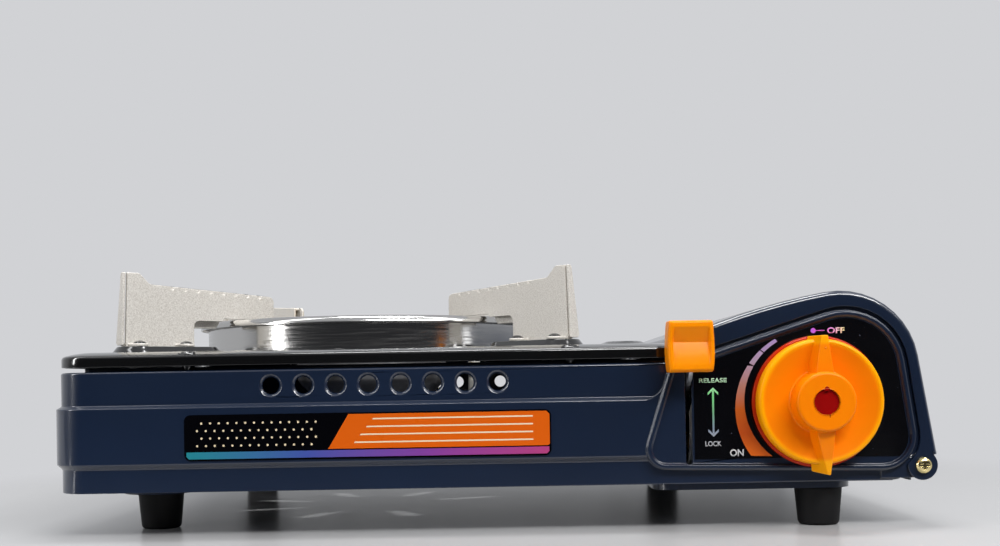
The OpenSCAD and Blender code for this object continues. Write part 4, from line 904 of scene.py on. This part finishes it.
# %% Heads on the screws
# a head's top stays just inside the end of its screw; the recess goes by the head's radius
TOP_INSET = 1.02
RECESS_LENGTH = 1.1
RECESS_WIDTH = 0.24
SCREWS = (("hinge_screws", outwards_y, 1.2 * MM), ("body_screws", outwards_x, 1.2 * MM),
          ("foot_screws", downwards, 1.3 * MM))
for node, facing_of, height in SCREWS:
    radius = head_radius(node)
    slot_name = slot_of_node[node]
    sizes = {"Radius": radius, "Height": height, "Recess length": radius * RECESS_LENGTH,
             "Recess width": radius * RECESS_WIDTH}
    spread(node + "_heads", screw_tree, head_places(node, facing_of, height * TOP_INSET), sizes,
           body_of_node[node], FINISH_OF_SLOT[slot_name])

# %% [markdown]
# ## Table and light
# The stove stands on a pale, faintly glossy table. Far from the stove the table takes the tone of the
# wall, as a curved studio backdrop does, so no horizon shows. Glossy fronts mirror what is before them, so
# the part of the table before the stove is dark for mirrored rays, as if a black cloth lay there, while the
# lens itself sees the same pale table everywhere.


# %% Helpers for the surroundings
def between(tree, value, start, end):
    """A value mapped smoothly from 0 at start to 1 at end."""
    node = tree.nodes.new("ShaderNodeMapRange")
    node.interpolation_type = "SMOOTHSTEP"
    node.inputs["From Min"].default_value = start
    node.inputs["From Max"].default_value = end
    tree.links.new(value, node.inputs["Value"])
    return node.outputs[0]


def combine(tree, operation, first, second):
    """One value made of two."""
    node = tree.nodes.new("ShaderNodeMath")
    node.operation = operation
    tree.links.new(first, node.inputs[0])
    tree.links.new(second, node.inputs[1])
    return node.outputs[0]


def two_tones(tree, share, low, high):
    """A colour that goes from one tone to another as a value goes from 0 to 1."""
    node = tree.nodes.new("ShaderNodeMix")
    node.data_type = "RGBA"
    tree.links.new(share, node.inputs["Factor"])
    node.inputs["A"].default_value = low
    node.inputs["B"].default_value = high
    return node.outputs["Result"]


def shared(tree, share, first, second):
    """The first shader where a value is 0 and the second where it is 1."""
    node = tree.nodes.new("ShaderNodeMixShader")
    tree.links.new(share, node.inputs["Fac"])
    tree.links.new(first, node.inputs[1])
    tree.links.new(second, node.inputs[2])
    return node.outputs[0]


def plain_light(tree, node_type, colour):
    """An emission or a background of one colour."""
    node = tree.nodes.new(node_type)
    node.inputs["Color"].default_value = colour
    return node.outputs[0]


# %% Table
WALL = srgb(209, 210, 213)
TABLE_TOP = srgb(186, 186, 187)
CLOTH = srgb(30, 30, 32)
# in metres: where the table starts to turn into the wall and has done so, and the edge of the cloth
SWEEP_FROM, SWEEP_TO = 0.24, 0.42
CLOTH_UNTIL, TABLE_FROM = -0.23, -0.19
TABLE_CORNERS = [(-3, -1.2, 0), (3, -1.2, 0), (3, 2.5, 0), (-3, 2.5, 0)]

table_finish = Finish("table_top", TABLE_TOP, 0.25)
table_finish.bump(table_finish.noise(25.0), 0.4 * MM, 0.1)
tree = table_finish.material.node_tree
distance = tree.nodes.new("ShaderNodeVectorMath")
distance.operation = "LENGTH"
tree.links.new(table_finish.place, distance.inputs[0])
far = between(tree, distance.outputs["Value"], SWEEP_FROM, SWEEP_TO)
sides = tree.nodes.new("ShaderNodeSeparateXYZ")
tree.links.new(table_finish.place, sides.inputs[0])
uncovered = between(tree, sides.outputs["Y"], CLOTH_UNTIL, TABLE_FROM)
seen_direct = tree.nodes.new("ShaderNodeLightPath").outputs["Is Camera Ray"]
pale = combine(tree, "MAXIMUM", uncovered, seen_direct)
table_finish.colour_from(two_tones(tree, pale, CLOTH, TABLE_TOP))
sweep = plain_light(tree, "ShaderNodeEmission", WALL)
surface = shared(tree, combine(tree, "MULTIPLY", far, pale), table_finish.shader.outputs[0], sweep)
tree.links.new(surface, tree.nodes["Material Output"].inputs["Surface"])

table_mesh = bpy.data.meshes.new("table")
table_mesh.from_pydata(TABLE_CORNERS, [], [(0, 1, 2, 3)])
table = bpy.data.objects.new("table", table_mesh)
table_mesh.materials.append(table_finish.material)
bpy.context.scene.collection.objects.link(table)

# %% [markdown]
# One soft box hangs over the stove and a long one stands in front of it. Narrow strips on both sides and a
# low card at the left draw the bright lines along the edges.


# %% Lamps
def soft_lamp(name, place, target, size, power):
    """A rectangular soft box that looks at a target; all measures are in metres and watts."""
    data = bpy.data.lights.new(name, "AREA")
    data.shape = "RECTANGLE"
    data.size, data.size_y = size
    data.energy = power
    lamp = bpy.data.objects.new(name, data)
    lamp.location = place
    lamp.rotation_euler = (Vector(target) - Vector(place)).to_track_quat("-Z", "Y").to_euler()
    bpy.context.scene.collection.objects.link(lamp)


STOVE = (0, 0, 0.05)
soft_lamp("lamp_top", (0.0, 0.05, 1.3), (0, 0.02, 0.05), (0.6, 0.24), 9.5)
soft_lamp("lamp_front", (0.45, -0.8, 0.8), STOVE, (0.9, 0.14), 12)
soft_lamp("strip_left", (-0.75, -0.35, 0.95), STOVE, (0.12, 0.9), 2.2)
soft_lamp("strip_right", (0.8, -0.3, 0.95), STOVE, (0.12, 0.9), 2.2)
soft_lamp("card_left", (-0.85, -0.5, 0.33), (0.05, 0, 0.05), (0.1, 0.5), 2.5)

# %% [markdown]
# The world is the wall: the lens sees one pale grey, and mirrors see a pale room behind and above the stove.
# Towards the lens, near the table's level, the room is dark, so the fronts keep their depth. The soft light
# that fills the shadows is the same from all sides.

# %% World
DARK_SIDE = (0.03, 0.031, 0.034, 1)
PALE_SIDE = (0.52, 0.53, 0.55, 1)
FILL_LIGHT = (0.12, 0.122, 0.126, 1)

world = bpy.data.worlds.new("pale_studio")
world.use_nodes = True
bpy.context.scene.world = world
tree = world.node_tree
tree.nodes.clear()
path = tree.nodes.new("ShaderNodeLightPath")
direction = tree.nodes.new("ShaderNodeSeparateXYZ")
tree.links.new(tree.nodes.new("ShaderNodeTexCoord").outputs["Generated"], direction.inputs[0])
behind = between(tree, direction.outputs["Y"], -0.55, 0.1)
above = between(tree, direction.outputs["Z"], 0.25, 0.75)
open_side = combine(tree, "MAXIMUM", behind, above)
mirrored = tree.nodes.new("ShaderNodeBackground")
tree.links.new(two_tones(tree, open_side, DARK_SIDE, PALE_SIDE), mirrored.inputs["Color"])
fill = plain_light(tree, "ShaderNodeBackground", FILL_LIGHT)
wall = plain_light(tree, "ShaderNodeBackground", WALL)
room = shared(tree, path.outputs["Is Diffuse Ray"], mirrored.outputs[0], fill)
everything = shared(tree, path.outputs["Is Camera Ray"], room, wall)
tree.links.new(everything, tree.nodes.new("ShaderNodeOutputWorld").inputs["Surface"])
